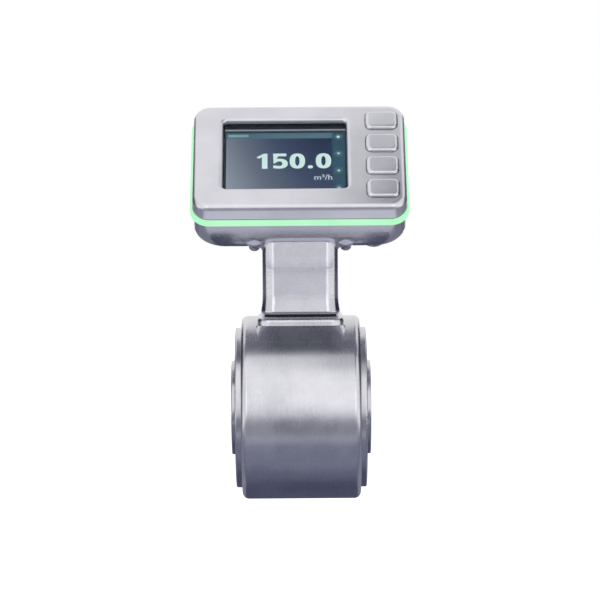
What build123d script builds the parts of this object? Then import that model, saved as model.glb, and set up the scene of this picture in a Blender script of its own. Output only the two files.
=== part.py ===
from build123d import *
import math
import os

# Hygienic electromagnetic flow meter with a tilted display head. Sizes are in millimetres.
# The origin is the centre of the measuring tube, where the neck's axis crosses the flow axis.
# +X runs along the flow, +Z up the neck, and the display faces -Y and upwards.

# Clearances between pieces
SEAT = 0.05
FIT = 0.1
KEY_GAP = 0.25
SWITCH_GAP = 0.3

# How far a cut runs past the face that it starts from, and sections along a curved outline
PAST = 1.0
CURVE_STEPS = 4

# Flow path
BORE_RADIUS = 13.0
LINER_WALL = 1.5
LINER_LIP = 1.5
TUBE_WALL = 1.6
HUB_PROUD = 5.0

# Drum and saddle
DRUM_RADIUS = 44.5
DRUM_WIDTH = 57.4
DRUM_EDGE_RADIUS = 3.2
DRUM_WALL = 3.0
DRUM_LIP_LENGTH = 7.0
SADDLE_RISE = 0.9
SADDLE_WIDTH = 41.5
SADDLE_CORNER = 6.0
SADDLE_EDGE_RADIUS = 2.4
SKIRT_DROP = 4.1
SKIRT_LEDGE = 0.7
SKIRT_HEIGHT = 7.0
SKIRT_FOOT_WIDTH = 49.0
SKIRT_FOOT_SINK = 0.1

# End flanges
FLANGE_RIM = 5.5
FLANGE_PROUD = 2.9
FLANGE_THICKNESS = 12.0
FLANGE_EDGE_RADIUS = 0.8
HUB_RADIUS = 22.85
HUB_EDGE_RADIUS = 0.6
BOLT_INSET = 8.0
BOLT_COUNT = 6
BOLT_HOLE_RADIUS = 2.5
BOLT_HOLE_DEPTH = 9.0
BORE_SEAL_INNER = 17.4
BORE_SEAL_WIDTH = 2.4
BORE_SEAL_DEPTH = 2.0

# Electrodes
ELECTRODE_STEM_RADIUS = 1.5
ELECTRODE_HEAD_RADIUS = 2.8
ELECTRODE_LENGTH = 8.4
SLEEVE_WALL = 1.2
SLEEVE_COLLAR_RADIUS = 4.4
SLEEVE_COLLAR = 1.2
NUT_ACROSS_FLATS = 5.5
NUT_HEIGHT = 2.2
FULL_PIPE_INSET = 12.2
FULL_PIPE_STEM_RADIUS = 0.9
FULL_PIPE_SLEEVE_RADIUS = 2.3

# Magnet system
YOKE_GAP = 6.3
YOKE_THICKNESS = 2.0
YOKE_WIDTH = 24.0
POLE_THICKNESS = 2.0
POLE_ELECTRODE_GAP = 3.5
POLE_HALF_ANGLE = 50.0
CORE_RADIUS = 6.0
BOBBIN_WALL = 1.0
BOBBIN_ELECTRODE_GAP = 3.0
BOBBIN_FLANGE_SHARE = 0.096
BOBBIN_YOKE_GAP = 1.44
COIL_INSET = 1.1

# Sensor board on the yoke
SENSOR_BOARD_LENGTH = 22.0
SENSOR_BOARD_WIDTH = 16.0
BOARD_THICKNESS = 1.6
SENSOR_BOARD_GAP = 2.0
PILLAR_RADIUS = 1.5
PILLAR_INSET = 2.4
SENSOR_HEADER_LENGTH = 8.0
SENSOR_HEADER_WIDTH = 5.0
SENSOR_HEADER_HEIGHT = 3.0

# Neck
NECK_WIDTH = 36.5
NECK_CORNER = 6.0
NECK_WALL = 3.0
NECK_FLOOR = 4.0
FOOT_FLARE = 1.2
FOOT_FLARE_HEIGHT = 10.0
FOOT_LIP_RADIUS = 1.8
NECK_SEAL_THICKNESS = 0.7
NECK_SEAL_INSET = 2.2
CABLE_HOLE_RADIUS = 9.0
NECK_SCREW_SPACING = 26.0
NECK_SCREW_RADIUS = 1.9
NECK_SCREW_HEAD_RADIUS = 3.4
NECK_SCREW_HEAD = 3.0
NECK_SCREW_GRIP = 4.4
NECK_SCREW_BITE = 3.4
NECK_HEAD_BLEND_RADIUS = 3.0

# Display head: v runs up the face, w runs out of the face, both from the face's centre
HEAD_TILT = 45.0
FACE_FORWARD = 10.75
FACE_RISE = 76.8
HEAD_WIDTH = 102.8
HEAD_HEIGHT = 68.8
HEAD_CORNER = 8.3
HEAD_WALL = 2.4
BEZEL_DEPTH = 8.1
BEZEL_DRAFT = 3.0
BEZEL_EDGE_RADIUS = 3.2
FACE_THICKNESS = 2.5
SEAM = 0.9
SEAL_RECESS = 0.5
SEAL_WIDTH = 1.0
RING_DEPTH = 3.2
RING_PROUD = 1.1
RING_WALL = 3.1
RING_EDGE_RADIUS = 0.8
REAR_INSET = 0.5
REAR_DEPTH = 20.2
BACK_ROUND_ACROSS = 7.3
BACK_ROUND_DEEP = 11.7
BACK_CORNER = 15.0

# Window and display, with the window's margins to the head's outline
WINDOW_LEFT = 14.6
WINDOW_RIGHT = 28.6
WINDOW_ABOVE = 11.0
WINDOW_BELOW = 13.4
WINDOW_CORNER = 1.8
WINDOW_EDGE_RADIUS = 2.0
GLASS_MARGIN = 2.0
GLASS_THICKNESS = 1.8
GASKET_THICKNESS = 0.4
GASKET_SETBACK = 0.4
PANEL_SIDE_MARGIN = 3.4
PANEL_END_MARGIN = 1.4
PANEL_THICKNESS = 3.3
FRAME_WALL = 1.3
FRAME_FLOOR = 1.2
FRAME_FOOT_RADIUS = 2.0
FRAME_FOOT_INSET = 6.0

# Keys
KEY_COUNT = 4
KEY_INSET = 11.6
KEY_V = 0.0
KEY_END_MARGIN = 4.4
KEY_WIDTH = 15.5
KEY_BRIDGE = 3.3
KEY_CORNER = 3.0
KEY_EDGE_RADIUS = 1.8
KEY_PROUD = 1.5
KEY_FLANGE_MARGIN = 1.0
KEY_FLANGE = 0.8
KEY_STOP_GAP = 0.3
KEY_SEAL = 0.5
KEY_STEM_RADIUS = 2.2
KEY_STEM = 0.8
SWITCH_SIZE = 6.0
SWITCH_HEIGHT = 3.3
SWITCH_PLUNGER_RADIUS = 1.6
SWITCH_PLUNGER_LENGTH = 2.05
SWITCH_STAND_OFF = 1.25
SWITCH_WELL_DEPTH = 2.0
KEY_BOARD_WIDTH = 12.4
KEY_BOARD_MARGIN = 5.5
SPACER_RADIUS = 1.8
SPACER_INSET = 2.6
SPACER_END_INSET = 9.6

# Main board
MAIN_BOARD_SIDE_MARGIN = 7.4
MAIN_BOARD_END_MARGIN = 9.4
MAIN_BOARD_CORNER = 3.0
MAIN_BOARD_DEPTH = 17.0
BOARD_BOSS_INSET = 3.0
BOARD_BOSS_RADIUS = 3.2
BOARD_SCREW_RADIUS = 1.2
BOARD_SCREW_HEAD_RADIUS = 2.4
BOARD_SCREW_HEAD = 1.6
BOARD_SCREW_BITE = 6.0
PROCESSOR_SIZE = 14.0
PROCESSOR_HEIGHT = 1.6
PROCESSOR_X = -8.0
PROCESSOR_V = 4.0
DRIVER_WIDTH = 10.0
DRIVER_DEPTH = 6.0
DRIVER_HEIGHT = 1.2
DRIVER_X = -26.0
DRIVER_V = -6.0
CONVERTER_WIDTH = 8.0
CONVERTER_DEPTH = 12.0
CONVERTER_HEIGHT = 3.0
CONVERTER_X = 12.0
CONVERTER_V = -8.0
CAPACITOR_RADIUS = 4.0
CAPACITOR_HEIGHT = 5.5
CAPACITOR_X = -24.0
CAPACITOR_V = 12.0

# Light bars
LIGHT_BAR_THICKNESS = 0.8
LIGHT_SIDE_INSET = 12.4
LIGHT_POST_GAP = 3.2
LIGHT_CHIP = 2.0
LIGHT_CHIP_HEIGHT = 0.8
LIGHT_CHIP_PITCH = 8.0

# Head screws
SHELL_SCREW_X = 22.0
SHELL_SCREW_INSET = 5.0
SHELL_SCREW_RADIUS = 1.5
SHELL_SCREW_HEAD_RADIUS = 2.9
SHELL_SCREW_HEAD = 3.4
SHELL_SCREW_DOME_RADIUS = 1.9
SHELL_SCREW_BITE = 6.0
SHELL_SCREW_SOCKET = 2.0
SHELL_SCREW_SOCKET_DEPTH = 1.2
SHELL_POST_RADIUS = 2.8
SHELL_BOSS_RADIUS = 5.5
SHELL_BOSS_FACE_RADIUS = 3.5
SHELL_BOSS_SINK = 2.9
SHELL_BOSS_NOSE_LENGTH = 3.4
SHELL_BOSS_LENGTH = 1.0
SHELL_BOSS_TAPER_LENGTH = 6.0
SPOT_FACE_RADIUS = 4.2
SCREW_SEAL_THICKNESS = 0.5

# Round connector and vent plug on the back
PORT_INSET = 15.4
PORT_RISE = 23.1
THREAD_RADIUS = 6.0
THREAD_LENGTH = 11.0
PORT_HEX = 14.0
PORT_HEX_HEIGHT = 3.0
PORT_HOLE_RADIUS = 6.0
PORT_TAIL = 3.9
PORT_SEAL_INNER = 6.05
PORT_SEAL_WIDTH = 0.6
PORT_SEAL_THICKNESS = 0.8
PORT_NUT_HEIGHT = 2.4
PORT_PAD_RADIUS = 8.6
PORT_PAD = 0.6
SOCKET_RADIUS = 4.4
SOCKET_DEPTH = 9.0
INSERT_HEIGHT = 2.0
WIRE_HOLE_RADIUS = 2.6
LEAD_RADIUS = 2.0
PIN_COUNT = 5
PIN_CIRCLE_RADIUS = 2.6
PIN_START_ANGLE = 45.0
PIN_RADIUS = 0.5
PIN_LENGTH = 7.2
VENT_RADIUS = 5.5
VENT_EDGE_RADIUS = 1.0
VENT_HEIGHT = 3.2
VENT_STEM_RADIUS = 3.0
VENT_STEM = 6.0
VENT_SLOTS = 6
VENT_SLOT_WIDTH = 1.0
VENT_SLOT_DEPTH = 0.9

# Signal cable
CABLE_RADIUS = 1.8
CABLE_BEND_RADIUS = 7.0
PLUG_V = -15.3
PLUG_LENGTH = 9.0
PLUG_WIDTH = 6.0
PLUG_HEIGHT = 4.3

# Places worked out from the sizes above
TUBE_INNER = BORE_RADIUS + LINER_WALL + SEAT
TUBE_OUTER = TUBE_INNER + TUBE_WALL
HUB_FACE = DRUM_WIDTH / 2 + HUB_PROUD
FULL_PIPE_OFFSET = DRUM_WIDTH / 2 - FULL_PIPE_INSET
POLE_LENGTH = 2 * (FULL_PIPE_OFFSET - POLE_ELECTRODE_GAP)
BOBBIN_FLANGE_RADIUS = FULL_PIPE_OFFSET - BOBBIN_ELECTRODE_GAP
COIL_RADIUS = BOBBIN_FLANGE_RADIUS - COIL_INSET
SADDLE_TOP = DRUM_RADIUS + SADDLE_RISE
SKIRT_TOP = SADDLE_TOP - SKIRT_DROP
SKIRT_FOOT_HEIGHT = SKIRT_TOP - SKIRT_HEIGHT
SKIRT_FOOT_DEPTH = 2 * math.sqrt(DRUM_RADIUS ** 2 - SKIRT_FOOT_HEIGHT ** 2) - SKIRT_FOOT_SINK
FLANGE_RADIUS = DRUM_RADIUS - FLANGE_RIM
FLANGE_FACE = DRUM_WIDTH / 2 + FLANGE_PROUD
BOLT_CIRCLE_RADIUS = FLANGE_RADIUS - BOLT_INSET
POLE_INNER = TUBE_OUTER + FIT
POLE_OUTER = POLE_INNER + POLE_THICKNESS
YOKE_OUTER = DRUM_RADIUS - DRUM_WALL - YOKE_GAP
YOKE_INNER_RADIUS = YOKE_OUTER - YOKE_THICKNESS
BOBBIN_BASE = POLE_OUTER + FIT
BOBBIN_TOP = math.sqrt((YOKE_INNER_RADIUS - BOBBIN_YOKE_GAP) ** 2 - BOBBIN_FLANGE_RADIUS ** 2)
BOBBIN_FLANGE = BOBBIN_FLANGE_SHARE * (BOBBIN_TOP - BOBBIN_BASE)
SENSOR_BOARD_BASE = YOKE_OUTER + SENSOR_BOARD_GAP
FOOT_BASE = SADDLE_TOP + NECK_SEAL_THICKNESS
FACE_HEIGHT = FOOT_BASE + FACE_RISE
FOOT_WIDTH = NECK_WIDTH + 2 * FOOT_FLARE
NECK_INNER = NECK_WIDTH - 2 * NECK_WALL
SCREW_SEAT = SADDLE_TOP - NECK_SCREW_GRIP
BEZEL_BACK = -BEZEL_DEPTH
RING_FRONT = BEZEL_BACK - SEAM
RING_BACK = RING_FRONT - RING_DEPTH
REAR_FRONT = RING_BACK - SEAM
REAR_BACK = REAR_FRONT - REAR_DEPTH
REAR_INSIDE = REAR_BACK + HEAD_WALL
REAR_WIDTH = HEAD_WIDTH - 2 * REAR_INSET
REAR_HEIGHT = HEAD_HEIGHT - 2 * REAR_INSET
RING_INNER_WIDTH = HEAD_WIDTH + 2 * (RING_PROUD - RING_WALL)
RING_INNER_HEIGHT = HEAD_HEIGHT + 2 * (RING_PROUD - RING_WALL)
RING_INNER_CORNER = HEAD_CORNER + RING_PROUD - RING_WALL
WINDOW_WIDTH = HEAD_WIDTH - WINDOW_LEFT - WINDOW_RIGHT
WINDOW_HEIGHT = HEAD_HEIGHT - WINDOW_ABOVE - WINDOW_BELOW
WINDOW_X = (WINDOW_LEFT - WINDOW_RIGHT) / 2
WINDOW_V = (WINDOW_BELOW - WINDOW_ABOVE) / 2
PANEL_WIDTH = WINDOW_WIDTH + 2 * PANEL_SIDE_MARGIN
PANEL_HEIGHT = WINDOW_HEIGHT + 2 * PANEL_END_MARGIN
KEY_X = HEAD_WIDTH / 2 - KEY_INSET
KEY_PITCH = (HEAD_HEIGHT - 2 * KEY_END_MARGIN) / KEY_COUNT
KEY_HEIGHT = KEY_PITCH - KEY_BRIDGE
MAIN_BOARD_WIDTH = HEAD_WIDTH - 2 * MAIN_BOARD_SIDE_MARGIN
MAIN_BOARD_HEIGHT = HEAD_HEIGHT - 2 * MAIN_BOARD_END_MARGIN
BOARD_BOSS_X = MAIN_BOARD_WIDTH / 2 - BOARD_BOSS_INSET
BOARD_BOSS_V = MAIN_BOARD_HEIGHT / 2 - BOARD_BOSS_INSET
SHELL_SCREW_V = HEAD_HEIGHT / 2 - SHELL_SCREW_INSET
LIGHT_BAR_WIDTH = RING_DEPTH
LIGHT_SIDE_LENGTH = HEAD_HEIGHT - 2 * LIGHT_SIDE_INSET
LIGHT_TOP_LENGTH = 2 * (SHELL_SCREW_X - SHELL_POST_RADIUS - LIGHT_POST_GAP)
PORT_X = HEAD_WIDTH / 2 - PORT_INSET
PORT_V = PORT_RISE - HEAD_HEIGHT / 2
GLASS_FRONT = -FACE_THICKNESS - GASKET_THICKNESS
GLASS_BACK = GLASS_FRONT - GLASS_THICKNESS
PANEL_FRONT = GLASS_BACK - FIT
PANEL_BACK = PANEL_FRONT - PANEL_THICKNESS
FRAME_BACK = PANEL_BACK - FIT - FRAME_FLOOR
BOARD_FRONT = -MAIN_BOARD_DEPTH
BOARD_BACK = BOARD_FRONT - BOARD_THICKNESS
KEY_SEAL_TOP = -FACE_THICKNESS - KEY_STOP_GAP
KEY_FLANGE_TOP = KEY_SEAL_TOP - KEY_SEAL
KEY_FLANGE_BASE = KEY_FLANGE_TOP - KEY_FLANGE
KEY_STEM_END = KEY_FLANGE_BASE - KEY_STEM
SWITCH_TOP = KEY_STEM_END - SEAT - SWITCH_STAND_OFF
KEY_BOARD_FRONT = SWITCH_TOP - SWITCH_HEIGHT
KEY_BOARD_BACK = KEY_BOARD_FRONT - BOARD_THICKNESS
BOSS_FACE = REAR_BACK + SHELL_BOSS_SINK
SCREW_HEAD_BASE = BOSS_FACE - SCREW_SEAL_THICKNESS
THREAD_END = REAR_BACK - PORT_HEX_HEIGHT - THREAD_LENGTH
SOCKET_FLOOR = THREAD_END + SOCKET_DEPTH

TILT = math.radians(HEAD_TILT)
FACE_PLANE = Plane(
    origin=(0, -FACE_FORWARD, FACE_HEIGHT),
    x_dir=(1, 0, 0),
    z_dir=(0, -math.sin(TILT), math.cos(TILT)),
)
HEAD = Location(FACE_PLANE)
ALONG_FLOW = Rotation(0, 90, 0)
NECK_SCREW_PLACES = [
    (x * NECK_SCREW_SPACING / 2, y * NECK_SCREW_SPACING / 2) for x in (-1, 1) for y in (-1, 1)
]
SHELL_SCREW_PLACES = [(x * SHELL_SCREW_X, v * SHELL_SCREW_V) for x in (-1, 1) for v in (-1, 1)]
BOARD_BOSS_PLACES = [(x * BOARD_BOSS_X, v * BOARD_BOSS_V) for x in (-1, 1) for v in (-1, 1)]
KEY_PLACES = [KEY_V + KEY_PITCH * ((KEY_COUNT - 1) / 2 - i) for i in range(KEY_COUNT)]


def slab(width, height, corner, back, front, x=0.0, v=0.0):
    """Plate with rounded corners, from w = back to w = front."""
    return extrude(Pos(x, v, back) * RectangleRounded(width, height, corner), front - back)


def block(width, height, back, front, x=0.0, v=0.0):
    """Plain block, from w = back to w = front."""
    return extrude(Pos(x, v, back) * Rectangle(width, height), front - back)


def rod(radius, start, end, x=0.0, y=0.0):
    """Cylinder along the local Z axis, between two heights."""
    low = min(start, end)
    return extrude(Pos(x, y, low) * Circle(radius), abs(end - start))


def flow_rod(radius, start, end):
    """Cylinder along the flow axis, between two places on X."""
    return ALONG_FLOW * rod(radius, start, end)


def rods(radius, start, end, places):
    """Cylinders at several places, as one group."""
    return Part() + [rod(radius, start, end, x, y) for x, y in places]


def hexagon(across_flats, start, end, x=0.0, y=0.0):
    """Hexagonal prism between two heights, with two of its flats facing along X."""
    outline = RegularPolygon(across_flats / 2, 6, major_radius=False, rotation=30)
    return extrude(Pos(x, y, min(start, end)) * outline, abs(end - start))


def group(*pieces):
    """Separate solids that share one node."""
    return Compound(children=[solid for piece in pieces for solid in piece.solids()])


def body_housing():
    """Drum with the saddle that carries the neck, cast in one."""
    drum = flow_rod(DRUM_RADIUS, -DRUM_WIDTH / 2, DRUM_WIDTH / 2)
    drum = fillet(drum.edges().filter_by(GeomType.CIRCLE), DRUM_EDGE_RADIUS)
    skirt_width = SADDLE_WIDTH + 2 * SKIRT_LEDGE
    skirt_foot = RectangleRounded(SKIRT_FOOT_WIDTH, SKIRT_FOOT_DEPTH, SADDLE_CORNER)
    skirt_head = RectangleRounded(skirt_width, skirt_width, SADDLE_CORNER)
    skirt = loft([Pos(0, 0, SKIRT_FOOT_HEIGHT) * skirt_foot, Pos(0, 0, SKIRT_TOP) * skirt_head], ruled=True)
    plinth = slab(SADDLE_WIDTH, SADDLE_WIDTH, SADDLE_CORNER, SKIRT_FOOT_HEIGHT, SADDLE_TOP)
    plinth = fillet(plinth.edges().group_by(Axis.Z)[-1], SADDLE_EDGE_RADIUS)
    casting = drum + skirt + plinth
    casting -= flow_rod(FLANGE_RADIUS, -DRUM_WIDTH, DRUM_WIDTH)
    cavity_half = DRUM_WIDTH / 2 - DRUM_LIP_LENGTH
    casting -= flow_rod(DRUM_RADIUS - DRUM_WALL, -cavity_half, cavity_half)
    casting -= rod(CABLE_HOLE_RADIUS, 0, DRUM_RADIUS * 2)
    casting -= rods(NECK_SCREW_RADIUS + FIT, 0, DRUM_RADIUS * 2, NECK_SCREW_PLACES)
    casting -= rods(NECK_SCREW_HEAD_RADIUS + FIT, 0, SCREW_SEAT, NECK_SCREW_PLACES)
    return casting


def end_flange(side):
    """Stepped disc with a hub, tapped holes and a seal groove; side is -1 or 1."""
    disc_end = FLANGE_FACE - FLANGE_THICKNESS
    disc = rod(FLANGE_RADIUS - SEAT, disc_end, FLANGE_FACE)
    disc = fillet(disc.edges().group_by(Axis.Z)[-1], FLANGE_EDGE_RADIUS)
    hub = rod(HUB_RADIUS, disc_end, HUB_FACE)
    hub = fillet(hub.edges().group_by(Axis.Z)[-1], HUB_EDGE_RADIUS)
    flange = disc + hub
    flange -= rod(TUBE_OUTER + SEAT, 0, HUB_FACE * 2)
    groove_outer = BORE_SEAL_INNER + BORE_SEAL_WIDTH + SEAT
    groove_base = HUB_FACE - BORE_SEAL_DEPTH - SEAT
    flange -= rod(groove_outer, groove_base, HUB_FACE) - rod(BORE_SEAL_INNER - SEAT, groove_base, HUB_FACE)
    circle = PolarLocations(BOLT_CIRCLE_RADIUS, BOLT_COUNT)
    places = [(place.position.X, place.position.Y) for place in circle.locations]
    flange -= rods(BOLT_HOLE_RADIUS, FLANGE_FACE - BOLT_HOLE_DEPTH, FLANGE_FACE + PAST, places)
    return Rotation(0, 90 * side, 0) * flange


def bore_seals():
    """Flat rings that seal the process connections, flush with the hubs' faces."""
    outer = rod(BORE_SEAL_INNER + BORE_SEAL_WIDTH, HUB_FACE - BORE_SEAL_DEPTH, HUB_FACE)
    ring = outer - rod(BORE_SEAL_INNER, HUB_FACE - BORE_SEAL_DEPTH, HUB_FACE)
    return group(Rotation(0, -90, 0) * ring, Rotation(0, 90, 0) * ring)


def across_tube(piece, side):
    """Turns a piece that stands on Z to the front (-1) or the rear (1) of the tube."""
    return Rotation(-90 * side, 0, 0) * piece


def measuring_tube():
    """Welded steel tube with the holes for the electrodes."""
    half = HUB_FACE - LINER_LIP - SEAT
    tube = flow_rod(TUBE_OUTER, -half, half) - flow_rod(TUBE_INNER, -half, half)
    hole = rod(sleeve_radius() + SEAT, 0, TUBE_OUTER * 2)
    tube -= across_tube(hole, -1)
    tube -= across_tube(hole, 1)
    tube -= rod(FULL_PIPE_SLEEVE_RADIUS + SEAT, 0, TUBE_OUTER * 2, -FULL_PIPE_OFFSET)
    return tube


def sleeve_radius():
    """Outer radius of the insulating sleeve round an electrode's stem."""
    return ELECTRODE_STEM_RADIUS + SEAT + SLEEVE_WALL


def tube_liner():
    """Insulating liner with lips that cover the tube's ends."""
    outer = BORE_RADIUS + LINER_WALL
    liner = flow_rod(outer, -HUB_FACE, HUB_FACE)
    for side in (-1, 1):
        liner += flow_rod(TUBE_OUTER, side * (HUB_FACE - LINER_LIP), side * HUB_FACE)
    liner -= flow_rod(BORE_RADIUS, -HUB_FACE, HUB_FACE)
    pocket = rod(ELECTRODE_HEAD_RADIUS + SEAT, 0, TUBE_OUTER)
    liner -= across_tube(pocket, -1)
    liner -= across_tube(pocket, 1)
    liner -= rod(FULL_PIPE_STEM_RADIUS + SEAT, 0, TUBE_OUTER, -FULL_PIPE_OFFSET)
    return liner


def electrode(side):
    """Measuring electrode: a flush head inside the liner and a stem through the tube."""
    stem_end = TUBE_INNER + ELECTRODE_LENGTH
    pin = rod(ELECTRODE_STEM_RADIUS, 0, stem_end) + rod(ELECTRODE_HEAD_RADIUS, 0, TUBE_INNER - SEAT)
    pin -= flow_rod(BORE_RADIUS, -DRUM_WIDTH, DRUM_WIDTH)
    return across_tube(pin, side)


def full_pipe_electrode():
    """Thin electrode at the top of the tube that shows when the pipe isn't full."""
    pin = rod(FULL_PIPE_STEM_RADIUS, 0, TUBE_INNER + ELECTRODE_LENGTH, -FULL_PIPE_OFFSET)
    return pin - flow_rod(BORE_RADIUS, -DRUM_WIDTH, DRUM_WIDTH)


def sleeve(stem_radius, radius, collar_radius, x=0.0):
    """Collared insulating sleeve round a stem that stands on Z."""
    base = TUBE_INNER + SEAT
    body = rod(radius, base, TUBE_OUTER + SLEEVE_COLLAR, x)
    body += rod(collar_radius, TUBE_OUTER + SEAT, TUBE_OUTER + SLEEVE_COLLAR, x)
    return body - rod(stem_radius + SEAT, 0, TUBE_OUTER * 2, x)


def electrode_sleeves():
    """Insulating sleeves of all three electrodes."""
    measuring = sleeve(ELECTRODE_STEM_RADIUS, sleeve_radius(), SLEEVE_COLLAR_RADIUS)
    thin_radius = FULL_PIPE_SLEEVE_RADIUS
    thin = sleeve(FULL_PIPE_STEM_RADIUS, thin_radius, thin_radius, -FULL_PIPE_OFFSET)
    return group(across_tube(measuring, -1), across_tube(measuring, 1), thin)


def electrode_nuts():
    """Nuts that pull the electrodes tight against the tube."""
    base = TUBE_OUTER + SLEEVE_COLLAR + SEAT
    nut = hexagon(NUT_ACROSS_FLATS, base, base + NUT_HEIGHT)
    nut -= rod(ELECTRODE_STEM_RADIUS + SEAT, 0, base * 2)
    small = hexagon(NUT_ACROSS_FLATS, base, base + NUT_HEIGHT, -FULL_PIPE_OFFSET)
    small -= rod(FULL_PIPE_STEM_RADIUS + SEAT, 0, base * 2, -FULL_PIPE_OFFSET)
    return group(across_tube(nut, -1), across_tube(nut, 1), small)


def flip(piece, side):
    """Leaves a piece above the tube for side 1 and turns it below for side -1."""
    return piece if side > 0 else Rotation(180, 0, 0) * piece


def pole_shoe(side):
    """Curved pole plate on the tube with the round core that runs to the yoke."""
    half = POLE_LENGTH / 2
    plate = flow_rod(POLE_OUTER, -half, half)
    reach = YOKE_INNER_RADIUS
    spread = reach * math.tan(math.radians(POLE_HALF_ANGLE))
    wedge = Plane.YZ * make_face(Polyline((0, 0), (spread, reach), (-spread, reach), (0, 0)))
    plate &= extrude(wedge, half, both=True)
    core = rod(CORE_RADIUS, 0, YOKE_INNER_RADIUS) & flow_rod(YOKE_INNER_RADIUS - FIT, -half, half)
    shoe = plate + core
    shoe -= flow_rod(POLE_INNER, -POLE_LENGTH, POLE_LENGTH)
    return flip(shoe, side)


def coil_bobbin(side):
    """Flanged spool that slides over the core."""
    hole = CORE_RADIUS + FIT
    spool = rod(hole + BOBBIN_WALL, BOBBIN_BASE, BOBBIN_TOP)
    spool += rod(BOBBIN_FLANGE_RADIUS, BOBBIN_BASE, BOBBIN_BASE + BOBBIN_FLANGE)
    spool += rod(BOBBIN_FLANGE_RADIUS, BOBBIN_TOP - BOBBIN_FLANGE, BOBBIN_TOP)
    spool -= rod(hole, BOBBIN_BASE, BOBBIN_TOP)
    return flip(spool, side)


def field_coil(side):
    """Copper winding between the bobbin's flanges."""
    low = BOBBIN_BASE + BOBBIN_FLANGE + SEAT
    high = BOBBIN_TOP - BOBBIN_FLANGE - SEAT
    coil = rod(COIL_RADIUS, low, high) - rod(CORE_RADIUS + FIT + BOBBIN_WALL + SEAT, low, high)
    return flip(coil, side)


def magnet_yoke():
    """Soft-iron ring that closes the magnetic circuit round both coils."""
    half = YOKE_WIDTH / 2
    return flow_rod(YOKE_OUTER, -half, half) - flow_rod(YOKE_INNER_RADIUS, -half, half)


def sensor_board_pillars():
    """Pillars that stand on the yoke and carry the sensor board."""
    x = SENSOR_BOARD_LENGTH / 2 - PILLAR_INSET
    y = SENSOR_BOARD_WIDTH / 2 - PILLAR_INSET
    places = [(i * x, j * y) for i in (-1, 1) for j in (-1, 1)]
    pillars = rods(PILLAR_RADIUS, YOKE_INNER_RADIUS, SENSOR_BOARD_BASE, places)
    return pillars - flow_rod(YOKE_OUTER + SEAT, -YOKE_WIDTH, YOKE_WIDTH)


def sensor_board():
    """Preamplifier board with the header that the signal cable plugs into."""
    top = SENSOR_BOARD_BASE + BOARD_THICKNESS
    board = block(SENSOR_BOARD_LENGTH, SENSOR_BOARD_WIDTH, SENSOR_BOARD_BASE, top)
    return board + block(SENSOR_HEADER_LENGTH, SENSOR_HEADER_WIDTH, top, top + SENSOR_HEADER_HEIGHT)


def neck_seal():
    """Flat gasket between the saddle and the neck's foot."""
    width = FOOT_WIDTH - 2 * NECK_SEAL_INSET
    gasket = slab(width, width, NECK_CORNER - NECK_SEAL_INSET / 2, SADDLE_TOP, FOOT_BASE)
    gasket -= rod(CABLE_HOLE_RADIUS, 0, FOOT_BASE * 2)
    return gasket - rods(NECK_SCREW_RADIUS + FIT, 0, FOOT_BASE * 2, NECK_SCREW_PLACES)


def neck_screws():
    """Cap screws that hold the neck from inside the drum."""
    screws = rods(NECK_SCREW_HEAD_RADIUS, SCREW_SEAT - NECK_SCREW_HEAD, SCREW_SEAT, NECK_SCREW_PLACES)
    screws += rods(NECK_SCREW_RADIUS, SCREW_SEAT, FOOT_BASE + NECK_SCREW_BITE, NECK_SCREW_PLACES)
    screws -= Part() + [
        hexagon(NECK_SCREW_HEAD_RADIUS, 0, SCREW_SEAT - NECK_SCREW_HEAD / 2, x, y)
        for x, y in NECK_SCREW_PLACES
    ]
    return screws


def neck_outer():
    """Square neck with rounded corners, standing on its flared foot."""
    bend = (FOOT_FLARE_HEIGHT ** 2 + FOOT_FLARE ** 2) / (2 * FOOT_FLARE)
    sections = []
    for i in range(CURVE_STEPS + 1):
        drop = FOOT_FLARE_HEIGHT * (1 - i / CURVE_STEPS)
        flare = bend - math.sqrt(bend ** 2 - drop ** 2)
        width = NECK_WIDTH + 2 * flare
        height = FOOT_BASE + FOOT_FLARE_HEIGHT - drop
        sections.append(Pos(0, 0, height) * RectangleRounded(width, width, NECK_CORNER + flare))
    foot = loft(sections)
    foot = fillet(foot.edges().group_by(Axis.Z)[0], FOOT_LIP_RADIUS)
    column = slab(NECK_WIDTH, NECK_WIDTH, NECK_CORNER, FOOT_BASE + FOOT_FLARE_HEIGHT, FACE_HEIGHT)
    inside_head = FACE_PLANE.offset((REAR_FRONT + REAR_INSIDE) / 2)
    return foot + split(column, inside_head, keep=Keep.BOTTOM)


def rear_shell_volume(inset, front):
    """Rear shell's outline, inset all round: straight walls, then an elliptical rounding to the back."""
    width = REAR_WIDTH - 2 * inset
    height = REAR_HEIGHT - 2 * inset
    corner = HEAD_CORNER - inset
    round_start = REAR_BACK + inset + BACK_ROUND_DEEP
    straight = slab(width, height, corner, round_start, front)
    sections = []
    for i in range(CURVE_STEPS + 1):
        angle = math.radians(90 * i / CURVE_STEPS)
        across = BACK_ROUND_ACROSS * (1 - math.cos(angle))
        turn = corner + (BACK_CORNER - HEAD_CORNER) * i / CURVE_STEPS
        outline = RectangleRounded(width - 2 * across, height - 2 * across, turn)
        sections.append(Pos(0, 0, round_start - BACK_ROUND_DEEP * math.sin(angle)) * outline)
    return straight + loft(sections)


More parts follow.
